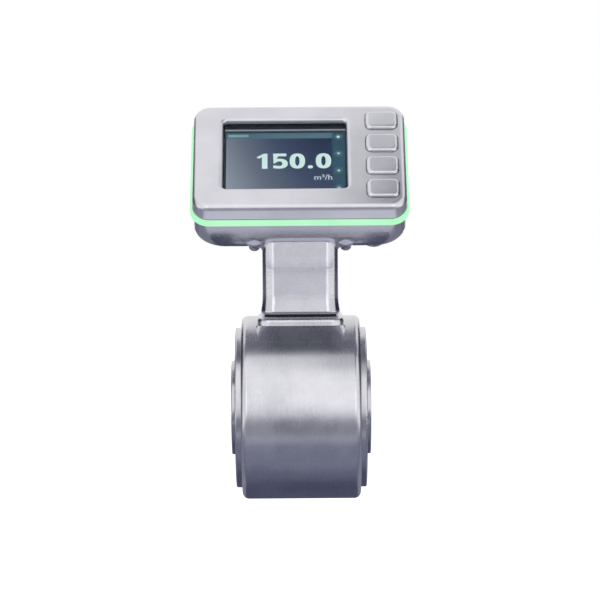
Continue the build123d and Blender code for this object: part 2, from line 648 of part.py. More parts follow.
def shell_boss(x, v):
    """Round boss of a head screw: narrow at its face, and fading into the shell at its front."""
    shoulder = BOSS_FACE + SHELL_BOSS_NOSE_LENGTH
    fade = shoulder + SHELL_BOSS_LENGTH
    nose = loft([
        Pos(x, v, BOSS_FACE) * Circle(SHELL_BOSS_FACE_RADIUS),
        Pos(x, v, shoulder) * Circle(SHELL_BOSS_RADIUS),
    ])
    cone = loft([
        Pos(x, v, fade) * Circle(SHELL_BOSS_RADIUS),
        Pos(x, v, fade + SHELL_BOSS_TAPER_LENGTH) * Circle(SHELL_POST_RADIUS),
    ])
    return nose + rod(SHELL_BOSS_RADIUS, shoulder, fade, x, v) + cone


def is_neck_joint(edge):
    """True for an edge where the neck's outside meets the rear shell."""
    reach = NECK_WIDTH / 2 + SEAT
    points = [edge.position_at(k / 4) for k in range(5)]
    low = FOOT_BASE + FOOT_FLARE_HEIGHT + SEAT
    inside = all(abs(p.X) < reach and abs(p.Y) < reach and p.Z > low for p in points)
    sideways = (points[0] - points[-1]).cross(Vector(0, 0, 1)).length
    return inside and sideways > SEAT


def rear_housing():
    """Rear shell of the head and the hollow neck, cast in one."""
    outside = HEAD * rear_shell_volume(0, REAR_FRONT) + neck_outer()
    joint = [edge for edge in outside.edges() if is_neck_joint(edge)]
    casting = fillet(joint, NECK_HEAD_BLEND_RADIUS)
    bosses = Part() + [shell_boss(x, v) for x, v in SHELL_SCREW_PLACES]
    casting += HEAD * bosses
    casting -= HEAD * rods(SPOT_FACE_RADIUS, BOSS_FACE, REAR_BACK * 2, SHELL_SCREW_PLACES)
    casting -= HEAD * rear_shell_volume(HEAD_WALL, REAR_FRONT + PAST)
    passage = slab(NECK_INNER, NECK_INNER, NECK_CORNER - NECK_WALL, FOOT_BASE + NECK_FLOOR, FACE_HEIGHT)
    casting -= split(passage, FACE_PLANE.offset((REAR_FRONT + REAR_INSIDE) / 2), keep=Keep.BOTTOM)
    posts = rods(BOARD_BOSS_RADIUS, REAR_INSIDE - SEAT, BOARD_BACK, BOARD_BOSS_PLACES)
    posts += rods(SHELL_POST_RADIUS, BOSS_FACE, REAR_FRONT, SHELL_SCREW_PLACES)
    posts += rod(PORT_PAD_RADIUS, REAR_INSIDE - SEAT, REAR_INSIDE + PORT_PAD, PORT_X, PORT_V)
    casting += HEAD * posts
    holes = rods(SHELL_SCREW_RADIUS + FIT, REAR_FRONT + PAST, REAR_BACK, SHELL_SCREW_PLACES)
    bite = BOARD_BACK - BOARD_SCREW_BITE - PAST
    holes += rods(BOARD_SCREW_RADIUS + SEAT, bite, BOARD_BACK + PAST, BOARD_BOSS_PLACES)
    holes += rod(PORT_HOLE_RADIUS, REAR_BACK - PAST, REAR_INSIDE + PAST, PORT_X, PORT_V)
    holes += rod(VENT_STEM_RADIUS + SEAT, REAR_BACK - PAST, REAR_INSIDE + PAST, -PORT_X, PORT_V)
    casting -= HEAD * holes
    casting -= rod(CABLE_HOLE_RADIUS, FOOT_BASE - PAST, FOOT_BASE + NECK_FLOOR + PAST)
    bite = FOOT_BASE + NECK_SCREW_BITE + FIT
    return casting - rods(NECK_SCREW_RADIUS + FIT, FOOT_BASE - PAST, bite, NECK_SCREW_PLACES)


def front_bezel():
    """Front cover: drafted walls, rounded edge, window, key holes and screw posts."""
    outline = Pos(0, 0, BEZEL_BACK) * RectangleRounded(HEAD_WIDTH, HEAD_HEIGHT, HEAD_CORNER)
    cover = extrude(outline, BEZEL_DEPTH, taper=BEZEL_DRAFT)
    cover = fillet(cover.edges().group_by(Axis.Z)[-1], BEZEL_EDGE_RADIUS)
    cavity_width = HEAD_WIDTH - 2 * HEAD_WALL
    cavity_height = HEAD_HEIGHT - 2 * HEAD_WALL
    cavity = Pos(0, 0, BEZEL_BACK) * RectangleRounded(cavity_width, cavity_height, HEAD_CORNER - HEAD_WALL)
    cover -= extrude(cavity, BEZEL_DEPTH - FACE_THICKNESS, taper=BEZEL_DRAFT)
    inside = -FACE_THICKNESS - PAST
    cover -= slab(WINDOW_WIDTH, WINDOW_HEIGHT, WINDOW_CORNER, inside, PAST, WINDOW_X, WINDOW_V)
    rim = [
        edge for edge in cover.edges().group_by(Axis.Z)[-1]
        if abs(edge.center().X - WINDOW_X) < WINDOW_WIDTH / 2 + SEAT
        and abs(edge.center().Y - WINDOW_V) < WINDOW_HEIGHT / 2 + SEAT
    ]
    cover = fillet(rim, WINDOW_EDGE_RADIUS)
    hole_width = KEY_WIDTH + 2 * KEY_GAP
    hole_height = KEY_HEIGHT + 2 * KEY_GAP
    for v in KEY_PLACES:
        cover -= slab(hole_width, hole_height, KEY_CORNER + KEY_GAP, inside, PAST, KEY_X, v)
    cover += rods(SHELL_POST_RADIUS, -FACE_THICKNESS, REAR_FRONT + FIT, SHELL_SCREW_PLACES)
    bite = REAR_FRONT + FIT + SHELL_SCREW_BITE
    cover -= rods(SHELL_SCREW_RADIUS + SEAT, REAR_FRONT, bite, SHELL_SCREW_PLACES)
    return HEAD * cover


def frame_strip(width, height, corner, band, back, front, x=0.0, v=0.0):
    """Flat closed band with rounded corners."""
    outer = slab(width, height, corner, back, front, x, v)
    return outer - slab(width - 2 * band, height - 2 * band, corner - band, back, front, x, v)


def ring_seal_front():
    """Seal between the bezel and the light ring, set back from the edge."""
    width = HEAD_WIDTH - 2 * SEAL_RECESS
    height = HEAD_HEIGHT - 2 * SEAL_RECESS
    corner = HEAD_CORNER - SEAL_RECESS
    return HEAD * frame_strip(width, height, corner, SEAL_WIDTH, RING_FRONT, BEZEL_BACK)


def ring_seal_rear():
    """Seal between the light ring and the rear shell, set back from the edge."""
    width = REAR_WIDTH - 2 * SEAL_RECESS
    height = REAR_HEIGHT - 2 * SEAL_RECESS
    corner = HEAD_CORNER - REAR_INSET - SEAL_RECESS
    return HEAD * frame_strip(width, height, corner, SEAL_WIDTH, REAR_FRONT, RING_BACK)


def light_ring():
    """Translucent ring that stands proud of the head all round."""
    width = HEAD_WIDTH + 2 * RING_PROUD
    height = HEAD_HEIGHT + 2 * RING_PROUD
    outer = slab(width, height, HEAD_CORNER + RING_PROUD, RING_BACK, RING_FRONT)
    edges = outer.edges().group_by(Axis.Z)
    outer = fillet(edges[0] + edges[-1], RING_EDGE_RADIUS)
    inner = slab(RING_INNER_WIDTH, RING_INNER_HEIGHT, RING_INNER_CORNER, RING_BACK, RING_FRONT)
    return HEAD * (outer - inner)


def light_bar(length):
    """Strip of light chips that faces +Y, centred on the origin."""
    bar = Box(length, LIGHT_BAR_THICKNESS, LIGHT_BAR_WIDTH)
    count = int(length / LIGHT_CHIP_PITCH)
    chip_y = (LIGHT_BAR_THICKNESS + LIGHT_CHIP_HEIGHT) / 2
    for i in range(count):
        x = LIGHT_CHIP_PITCH * (i - (count - 1) / 2)
        bar += Pos(x, chip_y, 0) * Box(LIGHT_CHIP, LIGHT_CHIP_HEIGHT, LIGHT_CHIP)
    return bar


def light_bars():
    """Four light bars inside the light ring, one on each side."""
    middle = (RING_FRONT + RING_BACK) / 2
    reach = LIGHT_BAR_THICKNESS / 2 + LIGHT_CHIP_HEIGHT + SEAT
    across = RING_INNER_HEIGHT / 2 - reach
    along = RING_INNER_WIDTH / 2 - reach
    long_bar = light_bar(LIGHT_TOP_LENGTH)
    side_bar = light_bar(LIGHT_SIDE_LENGTH)
    return group(
        HEAD * Pos(0, across, middle) * long_bar,
        HEAD * Pos(0, -across, middle) * Rotation(0, 0, 180) * long_bar,
        HEAD * Pos(along, 0, middle) * Rotation(0, 0, -90) * side_bar,
        HEAD * Pos(-along, 0, middle) * Rotation(0, 0, 90) * side_bar,
    )


def window_glass():
    """Glass behind the window's edge."""
    width = WINDOW_WIDTH + 2 * GLASS_MARGIN
    height = WINDOW_HEIGHT + 2 * GLASS_MARGIN
    corner = WINDOW_CORNER + GLASS_MARGIN
    return HEAD * slab(width, height, corner, GLASS_BACK, GLASS_FRONT, WINDOW_X, WINDOW_V)


def window_gasket():
    """Thin frame between the bezel and the glass."""
    width = WINDOW_WIDTH + 2 * GLASS_MARGIN
    height = WINDOW_HEIGHT + 2 * GLASS_MARGIN
    corner = WINDOW_CORNER + GLASS_MARGIN
    band = GLASS_MARGIN - GASKET_SETBACK
    return HEAD * frame_strip(
        width, height, corner, band, GLASS_FRONT, -FACE_THICKNESS, WINDOW_X, WINDOW_V
    )


def display_panel():
    """Colour display with its backlight."""
    return HEAD * block(PANEL_WIDTH, PANEL_HEIGHT, PANEL_BACK, PANEL_FRONT, WINDOW_X, WINDOW_V)


def display_frame():
    """Moulded tray that holds the display and stands on the main board."""
    inner_width = PANEL_WIDTH + 2 * FIT
    inner_height = PANEL_HEIGHT + 2 * FIT
    outer_width = inner_width + 2 * FRAME_WALL
    outer_height = inner_height + 2 * FRAME_WALL
    tray = slab(outer_width, outer_height, FRAME_WALL, FRAME_BACK, PANEL_FRONT, WINDOW_X, WINDOW_V)
    tray -= block(inner_width, inner_height, FRAME_BACK + FRAME_FLOOR, PANEL_FRONT, WINDOW_X, WINDOW_V)
    x = outer_width / 2 - FRAME_FOOT_INSET
    v = outer_height / 2 - FRAME_FOOT_INSET
    places = [(WINDOW_X + i * x, WINDOW_V + j * v) for i in (-1, 1) for j in (-1, 1)]
    tray += rods(FRAME_FOOT_RADIUS, BOARD_FRONT + FIT, FRAME_BACK, places)
    return HEAD * tray


def key_cap(v):
    """Metal key: rounded cap, retaining flange below the face, and stem."""
    cap = slab(KEY_WIDTH, KEY_HEIGHT, KEY_CORNER, KEY_FLANGE_BASE, KEY_PROUD, KEY_X, v)
    cap = fillet(cap.edges().group_by(Axis.Z)[-1], KEY_EDGE_RADIUS)
    width = KEY_WIDTH + 2 * KEY_FLANGE_MARGIN
    height = KEY_HEIGHT + 2 * KEY_FLANGE_MARGIN
    corner = KEY_CORNER + KEY_FLANGE_MARGIN
    cap += slab(width, height, corner, KEY_FLANGE_BASE, KEY_FLANGE_TOP, KEY_X, v)
    return HEAD * (cap + rod(KEY_STEM_RADIUS, KEY_STEM_END, KEY_FLANGE_BASE, KEY_X, v))


def key_seal(v):
    """Soft frame on the key's flange that meets the bezel from inside."""
    width = KEY_WIDTH + 2 * KEY_FLANGE_MARGIN
    height = KEY_HEIGHT + 2 * KEY_FLANGE_MARGIN
    corner = KEY_CORNER + KEY_FLANGE_MARGIN
    band = KEY_FLANGE_MARGIN - SEAT
    return HEAD * frame_strip(width, height, corner, band, KEY_FLANGE_TOP, KEY_SEAL_TOP, KEY_X, v)


def switch_plunger(v):
    """Plunger of the key's switch, under the key's stem."""
    top = KEY_STEM_END - SEAT
    return HEAD * rod(SWITCH_PLUNGER_RADIUS, top - SWITCH_PLUNGER_LENGTH, top, KEY_X, v)


def key_switches():
    """Switch bodies on the key board, each with a well for its plunger."""
    bodies = []
    for v in KEY_PLACES:
        body = block(SWITCH_SIZE, SWITCH_SIZE, KEY_BOARD_FRONT, SWITCH_TOP, KEY_X, v)
        well = rod(SWITCH_PLUNGER_RADIUS + SWITCH_GAP, SWITCH_TOP - SWITCH_WELL_DEPTH, SWITCH_TOP, KEY_X, v)
        bodies.append(HEAD * (body - well))
    return group(*bodies)


def key_board_length():
    """Length of the key board, past the outer switches at both ends."""
    return KEY_PLACES[0] - KEY_PLACES[-1] + 2 * KEY_BOARD_MARGIN


def key_board():
    """Narrow board under the keys."""
    return HEAD * block(KEY_BOARD_WIDTH, key_board_length(), KEY_BOARD_BACK, KEY_BOARD_FRONT, KEY_X, KEY_V)


def key_board_spacers():
    """Spacers between the key board and the main board."""
    x = KEY_BOARD_WIDTH / 2 - SPACER_INSET
    v = key_board_length() / 2 - SPACER_END_INSET
    places = [(KEY_X + i * x, KEY_V + j * v) for i in (-1, 1) for j in (-1, 1)]
    return HEAD * rods(SPACER_RADIUS, BOARD_FRONT, KEY_BOARD_BACK, places)


def main_board():
    """Main board with its larger components."""
    board = slab(MAIN_BOARD_WIDTH, MAIN_BOARD_HEIGHT, MAIN_BOARD_CORNER, BOARD_BACK, BOARD_FRONT)
    board -= rods(BOARD_SCREW_RADIUS + FIT, BOARD_BACK, BOARD_FRONT, BOARD_BOSS_PLACES)
    top = BOARD_FRONT + PROCESSOR_HEIGHT
    board += block(PROCESSOR_SIZE, PROCESSOR_SIZE, BOARD_FRONT, top, PROCESSOR_X, PROCESSOR_V)
    top = BOARD_FRONT + DRIVER_HEIGHT
    board += block(DRIVER_WIDTH, DRIVER_DEPTH, BOARD_FRONT, top, DRIVER_X, DRIVER_V)
    top = BOARD_FRONT + CONVERTER_HEIGHT
    board += block(CONVERTER_WIDTH, CONVERTER_DEPTH, BOARD_FRONT, top, CONVERTER_X, CONVERTER_V)
    top = BOARD_FRONT + CAPACITOR_HEIGHT
    return HEAD * (board + rod(CAPACITOR_RADIUS, BOARD_FRONT, top, CAPACITOR_X, CAPACITOR_V))


def board_screws():
    """Screws that hold the main board on its bosses."""
    screws = rods(BOARD_SCREW_HEAD_RADIUS, BOARD_FRONT, BOARD_FRONT + BOARD_SCREW_HEAD, BOARD_BOSS_PLACES)
    screws += rods(BOARD_SCREW_RADIUS, BOARD_BACK - BOARD_SCREW_BITE, BOARD_FRONT, BOARD_BOSS_PLACES)
    return HEAD * screws


def shell_screws():
    """Dome-head screws that pull the rear shell, ring and bezel together."""
    screws = []
    end = REAR_FRONT + SHELL_SCREW_BITE
    for x, v in SHELL_SCREW_PLACES:
        head = rod(SHELL_SCREW_HEAD_RADIUS, SCREW_HEAD_BASE - SHELL_SCREW_HEAD, SCREW_HEAD_BASE, x, v)
        head = fillet(head.edges().group_by(Axis.Z)[0], SHELL_SCREW_DOME_RADIUS)
        socket_end = SCREW_HEAD_BASE - SHELL_SCREW_HEAD + SHELL_SCREW_SOCKET_DEPTH
        head -= hexagon(SHELL_SCREW_SOCKET, REAR_BACK * 2, socket_end, x, v)
        screws.append(HEAD * (head + rod(SHELL_SCREW_RADIUS, SCREW_HEAD_BASE, end, x, v)))
    return group(*screws)


def shell_screw_seals():
    """Washers under the heads of the shell screws."""
    washers = rods(SHELL_SCREW_HEAD_RADIUS - FIT, SCREW_HEAD_BASE, BOSS_FACE, SHELL_SCREW_PLACES)
    washers -= rods(SHELL_SCREW_RADIUS + FIT, SCREW_HEAD_BASE, BOSS_FACE, SHELL_SCREW_PLACES)
    return HEAD * washers


def connector_body():
    """Round threaded plug connector: hexagon, stub with its socket, and tail through the wall."""
    hex_end = REAR_BACK - PORT_HEX_HEIGHT
    body = hexagon(PORT_HEX, hex_end, REAR_BACK, PORT_X, PORT_V)
    body += rod(THREAD_RADIUS, THREAD_END, hex_end, PORT_X, PORT_V)
    body += rod(PORT_HOLE_RADIUS - FIT, REAR_BACK, REAR_INSIDE + PORT_TAIL, PORT_X, PORT_V)
    body -= rod(SOCKET_RADIUS, THREAD_END, SOCKET_FLOOR, PORT_X, PORT_V)
    body -= rod(WIRE_HOLE_RADIUS, SOCKET_FLOOR, 0, PORT_X, PORT_V)
    groove_base = REAR_BACK - PORT_SEAL_THICKNESS - SEAT
    groove = rod(PORT_SEAL_INNER + PORT_SEAL_WIDTH + SEAT, groove_base, REAR_BACK, PORT_X, PORT_V)
    groove -= rod(PORT_SEAL_INNER - SEAT, groove_base, REAR_BACK, PORT_X, PORT_V)
    return HEAD * (body - groove)


def connector_seal():
    """Ring that seals the connector against the rear shell."""
    base = REAR_BACK - PORT_SEAL_THICKNESS
    outer = rod(PORT_SEAL_INNER + PORT_SEAL_WIDTH, base, REAR_BACK, PORT_X, PORT_V)
    return HEAD * (outer - rod(PORT_SEAL_INNER, base, REAR_BACK, PORT_X, PORT_V))


def connector_nut():
    """Nut that clamps the connector from inside."""
    base = REAR_INSIDE + PORT_PAD + SEAT
    nut = hexagon(PORT_HEX, base, base + PORT_NUT_HEIGHT, PORT_X, PORT_V)
    return HEAD * (nut - rod(PORT_HOLE_RADIUS, REAR_BACK, 0, PORT_X, PORT_V))


def pin_places():
    """Centres of the connector's pins: one in the middle and the rest on a circle."""
    ring = PolarLocations(PIN_CIRCLE_RADIUS, PIN_COUNT - 1, PIN_START_ANGLE)
    centres = [(place.position.X, place.position.Y) for place in ring.locations]
    return [(PORT_X + x, PORT_V + v) for x, v in centres + [(0, 0)]]


def connector_insert():
    """Insulating insert that carries the pins."""
    top = SOCKET_FLOOR - SEAT
    insert = rod(SOCKET_RADIUS - SEAT, top - INSERT_HEIGHT, top, PORT_X, PORT_V)
    return HEAD * (insert - rods(PIN_RADIUS + SEAT, top - INSERT_HEIGHT, top, pin_places()))


def connector_pins():
    """Contact pins in the socket."""
    top = SOCKET_FLOOR - SEAT
    return HEAD * rods(PIN_RADIUS, top - PIN_LENGTH, top, pin_places())


def connector_lead():
    """Wires from the connector to the main board, as one round bundle."""
    return HEAD * rod(LEAD_RADIUS, SOCKET_FLOOR + FIT, BOARD_BACK - SEAT, PORT_X, PORT_V)


def vent_plug():
    """Pressure-balancing plug with slots round its cap."""
    cap = rod(VENT_RADIUS, REAR_BACK - VENT_HEIGHT, REAR_BACK, -PORT_X, PORT_V)
    cap = fillet(cap.edges().group_by(Axis.Z)[0], VENT_EDGE_RADIUS)
    plug = cap + rod(VENT_STEM_RADIUS, REAR_BACK, REAR_BACK + VENT_STEM, -PORT_X, PORT_V)
    for place in PolarLocations(VENT_RADIUS, VENT_SLOTS).locations:
        slot = Box(VENT_SLOT_DEPTH * 2, VENT_SLOT_WIDTH, VENT_HEIGHT / 2)
        plug -= Pos(-PORT_X, PORT_V, REAR_BACK - VENT_HEIGHT / 4) * place * slot
    return HEAD * plug


def signal_plug():
    """Plug of the signal cable on the back of the main board."""
    return HEAD * block(PLUG_LENGTH, PLUG_WIDTH, BOARD_BACK - PLUG_HEIGHT, BOARD_BACK - SEAT, 0, PLUG_V)


def signal_cable():
    """Cable up the neck, from the sensor board's header to the plug on the main board."""
    bottom = SENSOR_BOARD_BASE + BOARD_THICKNESS + SENSOR_HEADER_HEIGHT + SEAT
    end = FACE_PLANE.from_local_coords(Vector(0, PLUG_V, BOARD_BACK - PLUG_HEIGHT - SEAT))
    corner_depth = end.Y / math.sin(TILT)
    corner = end - FACE_PLANE.z_dir * -corner_depth
    route = FilletPolyline((0, 0, bottom), (0, 0, corner.Z), end, radius=CABLE_BEND_RADIUS)
    return sweep(Plane(origin=(0, 0, bottom), z_dir=(0, 0, 1)) * Circle(CABLE_RADIUS), path=route)


def all_nodes():
    """Every node's name with its solids."""
    nodes = {
        "body_housing": body_housing(),
        "end_flange_left": end_flange(-1),
        "end_flange_right": end_flange(1),
        "bore_seals": bore_seals(),
        "measuring_tube": measuring_tube(),
        "tube_liner": tube_liner(),
        "electrode_front": electrode(-1),
        "electrode_rear": electrode(1),
        "full_pipe_electrode": full_pipe_electrode(),
        "electrode_sleeves": electrode_sleeves(),
        "electrode_nuts": electrode_nuts(),
        "magnet_yoke": magnet_yoke(),
        "sensor_board": sensor_board(),
        "sensor_board_pillars": sensor_board_pillars(),
        "neck_seal": neck_seal(),
        "neck_screws": neck_screws(),
        "rear_housing": rear_housing(),
        "front_bezel": front_bezel(),
        "ring_seal_front": ring_seal_front(),
        "ring_seal_rear": ring_seal_rear(),
        "light_ring": light_ring(),
        "light_bars": light_bars(),
        "window_glass": window_glass(),
        "window_gasket": window_gasket(),
        "display_panel": display_panel(),
        "display_frame": display_frame(),
        "key_switches": key_switches(),
        "key_board": key_board(),
        "key_board_spacers": key_board_spacers(),
        "main_board": main_board(),
        "board_screws": board_screws(),
        "shell_screws": shell_screws(),
        "shell_screw_seals": shell_screw_seals(),
        "connector_body": connector_body(),
        "connector_seal": connector_seal(),
        "connector_nut": connector_nut(),
        "connector_insert": connector_insert(),
        "connector_pins": connector_pins(),
        "connector_lead": connector_lead(),
        "vent_plug": vent_plug(),
        "signal_plug": signal_plug(),
        "signal_cable": signal_cable(),
    }
    for name, side in (("upper", 1), ("lower", -1)):
        nodes[f"pole_shoe_{name}"] = pole_shoe(side)
        nodes[f"coil_bobbin_{name}"] = coil_bobbin(side)
        nodes[f"field_coil_{name}"] = field_coil(side)
    for number, v in enumerate(KEY_PLACES, start=1):
        nodes[f"key_cap_{number}"] = key_cap(v)
        nodes[f"key_seal_{number}"] = key_seal(v)
        nodes[f"switch_plunger_{number}"] = switch_plunger(v)
    return nodes


os.makedirs("parts", exist_ok=True)
for node_name, shape in all_nodes().items():
    export_step(shape, f"parts/{node_name}.step")
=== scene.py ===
"""Electromagnetic flow meter: looks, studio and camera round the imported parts."""

import logging
import math
from dataclasses import dataclass, field
from enum import Enum

import bmesh
import bpy
from mathutils import Matrix, Quaternion, Vector


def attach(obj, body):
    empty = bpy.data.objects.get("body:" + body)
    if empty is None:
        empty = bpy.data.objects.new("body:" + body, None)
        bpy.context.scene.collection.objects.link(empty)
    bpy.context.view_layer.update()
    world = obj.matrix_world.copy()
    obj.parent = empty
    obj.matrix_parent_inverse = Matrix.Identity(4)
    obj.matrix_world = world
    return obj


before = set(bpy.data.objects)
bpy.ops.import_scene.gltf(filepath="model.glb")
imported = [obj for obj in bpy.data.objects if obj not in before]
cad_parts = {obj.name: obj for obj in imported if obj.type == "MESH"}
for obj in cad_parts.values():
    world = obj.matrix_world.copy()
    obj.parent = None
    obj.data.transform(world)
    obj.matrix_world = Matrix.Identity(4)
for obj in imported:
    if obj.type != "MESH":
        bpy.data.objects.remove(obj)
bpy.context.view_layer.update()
LOG = logging.getLogger("flow_meter")

MM = 0.001
SMOOTH_ANGLE = math.radians(40.0)
WELD = 1e-6

FACE_FORWARD = 10.75 * MM
FACE_HEIGHT = 122.9 * MM
FACE_TILT = math.radians(45.0)
FACE = (
    Matrix.Translation((0.0, -FACE_FORWARD, FACE_HEIGHT))
    @ Matrix.Rotation(FACE_TILT, 4, "X")
)


def linear(code: str) -> tuple[float, float, float, float]:
    """Turn an sRGB hex colour into linear light.

    Args:
        code: Six hex digits, such as "D3D3D8".

    Returns:
        Red, green, blue and an alpha of 1.
    """
    channels = [int(code[i:i + 2], 16) / 255 for i in (0, 2, 4)]
    light = [c / 12.92 if c <= 0.04045 else ((c + 0.055) / 1.055) ** 2.4 for c in channels]
    return (light[0], light[1], light[2], 1.0)


def add_node(
    tree: bpy.types.NodeTree,
    kind: str,
    settings: dict | None = None,
    links: dict | None = None,
) -> bpy.types.Node:
    """Add a node, set its properties and sockets, and link its inputs.

    Args:
        tree: The tree that takes the node.
        kind: The node's type, such as "ShaderNodeBump".
        settings: Property names or input sockets (by name or number) with their values.
        links: Input sockets (by name or number) with the output sockets that feed them.

    Returns:
        The new node.
    """
    node = tree.nodes.new(kind)
    for key, value in (settings or {}).items():
        if isinstance(key, str) and hasattr(node, key):
            setattr(node, key, value)
        else:
            node.inputs[key].default_value = value
    for key, source in (links or {}).items():
        tree.links.new(source, node.inputs[key])
    return node


def start_material(name: str) -> tuple[bpy.types.Material, bpy.types.NodeTree, bpy.types.Node]:
    """Start a material.

    Args:
        name: The material's name.

    Returns:
        The material, its tree and its main shader.
    """
    material = bpy.data.materials.new(name)
    material.use_nodes = True
    return material, material.node_tree, material.node_tree.nodes["Principled BSDF"]


def shade_ramp(ramp: bpy.types.ColorRamp, stops: tuple[tuple[float, str], ...]) -> None:
    """Set where a ramp's colours stand.

    Args:
        ramp: A new ramp, with its two stops.
        stops: Each stop's place, from 0 to 1, and its sRGB hex colour.
    """
    for place, _ in stops[1:-1]:
        ramp.elements.new(place)
    for element, (place, shade) in zip(ramp.elements, stops):
        element.position = place
        element.color = linear(shade)


class Lay(Enum):
    """Direction in which a metal surface was worked."""

    AROUND_FLOW = "rings round the flow axis, from grinding on a lathe"
    CONCENTRIC = "turned rings on a face across the flow axis"
    EVEN = "no direction, from blasting or polishing"


@dataclass(frozen=True)
class Metal:
    """Bare metal whose grain is set by how it was worked."""

    name: str
    colour: str
    dark: str
    roughness: float
    spread: float
    grain_mm: float
    relief: float
    lay: Lay = Lay.EVEN
    cloud_mm: float = 18.0
    metallic: float = 1.0

    def build(self) -> bpy.types.Material:
        """Make the material, with grain from its lay and slow clouds in tone and gloss."""
        material, tree, shader = start_material(self.name)
        shader.inputs["Metallic"].default_value = self.metallic
        place = add_node(tree, "ShaderNodeTexCoord").outputs["Object"]
        grain = self.grain(tree, place)
        cloud = add_node(
            tree, "ShaderNodeTexNoise",
            {"Scale": 1 / (self.cloud_mm * MM), "Detail": 3.0, "Roughness": 0.55}, {"Vector": place},
        ).outputs["Fac"]
        mixed = add_node(
            tree, "ShaderNodeMath", {"operation": "MULTIPLY_ADD", 1: 0.45}, {0: grain, 2: cloud}
        ).outputs[0]
        tone = add_node(tree, "ShaderNodeValToRGB", {}, {"Fac": mixed})
        shade_ramp(tone.color_ramp, ((0.35, self.dark), (0.95, self.colour)))
        gloss = add_node(
            tree, "ShaderNodeMapRange",
            {
                "From Min": 0.3, "From Max": 1.1,
                "To Min": self.roughness - self.spread, "To Max": self.roughness + self.spread,
            },
            {"Value": mixed},
        )
        bump = add_node(
            tree, "ShaderNodeBump",
            {"Strength": self.relief, "Distance": self.grain_mm * MM * 0.5}, {"Height": grain},
        )
        tree.links.new(tone.outputs["Color"], shader.inputs["Base Color"])
        tree.links.new(gloss.outputs["Result"], shader.inputs["Roughness"])
        tree.links.new(bump.outputs["Normal"], shader.inputs["Normal"])
        return material

    def grain(self, tree: bpy.types.NodeTree, place: bpy.types.NodeSocket) -> bpy.types.NodeSocket:
        """Make the fine grain.

        Args:
            tree: The material's tree.
            place: The object's own coordinates.

        Returns:
            A socket with the grain's height, from 0 to 1.
        """
        fine = 1 / (self.grain_mm * MM)
        if self.lay is Lay.EVEN:
            return add_node(
                tree, "ShaderNodeTexNoise", {"Scale": fine, "Detail": 2.0}, {"Vector": place}
            ).outputs["Fac"]
        if self.lay is Lay.AROUND_FLOW:
            stretch = add_node(
                tree, "ShaderNodeMapping", {"Scale": (fine, fine * 0.012, fine * 0.012)}, {"Vector": place}
            ).outputs["Vector"]
        else:
            split = add_node(tree, "ShaderNodeSeparateXYZ", {}, {"Vector": place})
            flat = add_node(
                tree, "ShaderNodeCombineXYZ", {}, {1: split.outputs["Y"], 2: split.outputs["Z"]}
            )
            radius = add_node(
                tree, "ShaderNodeVectorMath", {"operation": "LENGTH"}, {0: flat.outputs[0]}
            ).outputs["Value"]
            rings = add_node(tree, "ShaderNodeMath", {"operation": "MULTIPLY", 1: fine}, {0: radius})
            slow = add_node(
                tree, "ShaderNodeMath", {"operation": "MULTIPLY", 1: fine * 0.01}, {0: split.outputs["Y"]}
            )
            stretch = add_node(
                tree, "ShaderNodeCombineXYZ", {}, {0: rings.outputs[0], 1: slow.outputs[0]}
            ).outputs[0]
        return add_node(
            tree, "ShaderNodeTexNoise", {"Scale": 1.0, "Detail": 3.0, "Roughness": 0.65},
            {"Vector": stretch},
        ).outputs["Fac"]


@dataclass(frozen=True)
class Plastic:
    """Moulded or coated surface with a fine texture."""

    name: str
    colour: str
    dark: str
    roughness: float
    grain_mm: float = 0.4
    relief: float = 0.1
    specular: float = 0.5

    def build(self) -> bpy.types.Material:
        """Make the material, with a fine texture in tone, gloss and relief."""
        material, tree, shader = start_material(self.name)
        shader.inputs["Specular IOR Level"].default_value = self.specular
        place = add_node(tree, "ShaderNodeTexCoord").outputs["Object"]
        grain = add_node(
            tree, "ShaderNodeTexNoise",
            {"Scale": 1 / (self.grain_mm * MM), "Detail": 4.0, "Roughness": 0.6}, {"Vector": place},
        ).outputs["Fac"]
        tone = add_node(tree, "ShaderNodeValToRGB", {}, {"Fac": grain})
        shade_ramp(tone.color_ramp, ((0.3, self.dark), (0.7, self.colour)))
        gloss = add_node(
            tree, "ShaderNodeMapRange",
            {
                "From Min": 0.3, "From Max": 0.7,
                "To Min": self.roughness * 0.85, "To Max": self.roughness * 1.15,
            },
            {"Value": grain},
        )
        bump = add_node(
            tree, "ShaderNodeBump",
            {"Strength": self.relief, "Distance": self.grain_mm * MM * 0.3}, {"Height": grain},
        )
        tree.links.new(tone.outputs["Color"], shader.inputs["Base Color"])
        tree.links.new(gloss.outputs["Result"], shader.inputs["Roughness"])
        tree.links.new(bump.outputs["Normal"], shader.inputs["Normal"])
        return material


@dataclass(frozen=True)
class Glow:
    """Surface that gives its own light through a diffuser or a display."""

    name: str
    colour: str
    dim: str
    strength: float = 1.0
    cloud_mm: float = 12.0
    roughness: float = 0.35
    specular: float = 0.0

    def build(self) -> bpy.types.Material:
        """Make the material: an even glow with a slow change in tone."""
        material, tree, shader = start_material(self.name)
        shader.inputs["Roughness"].default_value = self.roughness
        shader.inputs["Specular IOR Level"].default_value = self.specular
        shader.inputs["Base Color"].default_value = (0.004, 0.004, 0.004, 1.0)
        shader.inputs["Emission Strength"].default_value = self.strength
        place = add_node(tree, "ShaderNodeTexCoord").outputs["Object"]
        cloud = add_node(
            tree, "ShaderNodeTexNoise",
            {"Scale": 1 / (self.cloud_mm * MM), "Detail": 1.0}, {"Vector": place},
        ).outputs["Fac"]
        tone = add_node(tree, "ShaderNodeValToRGB", {}, {"Fac": cloud})
        shade_ramp(tone.color_ramp, ((0.3, self.dim), (0.7, self.colour)))
        tree.links.new(tone.outputs["Color"], shader.inputs["Emission Color"])
        return material


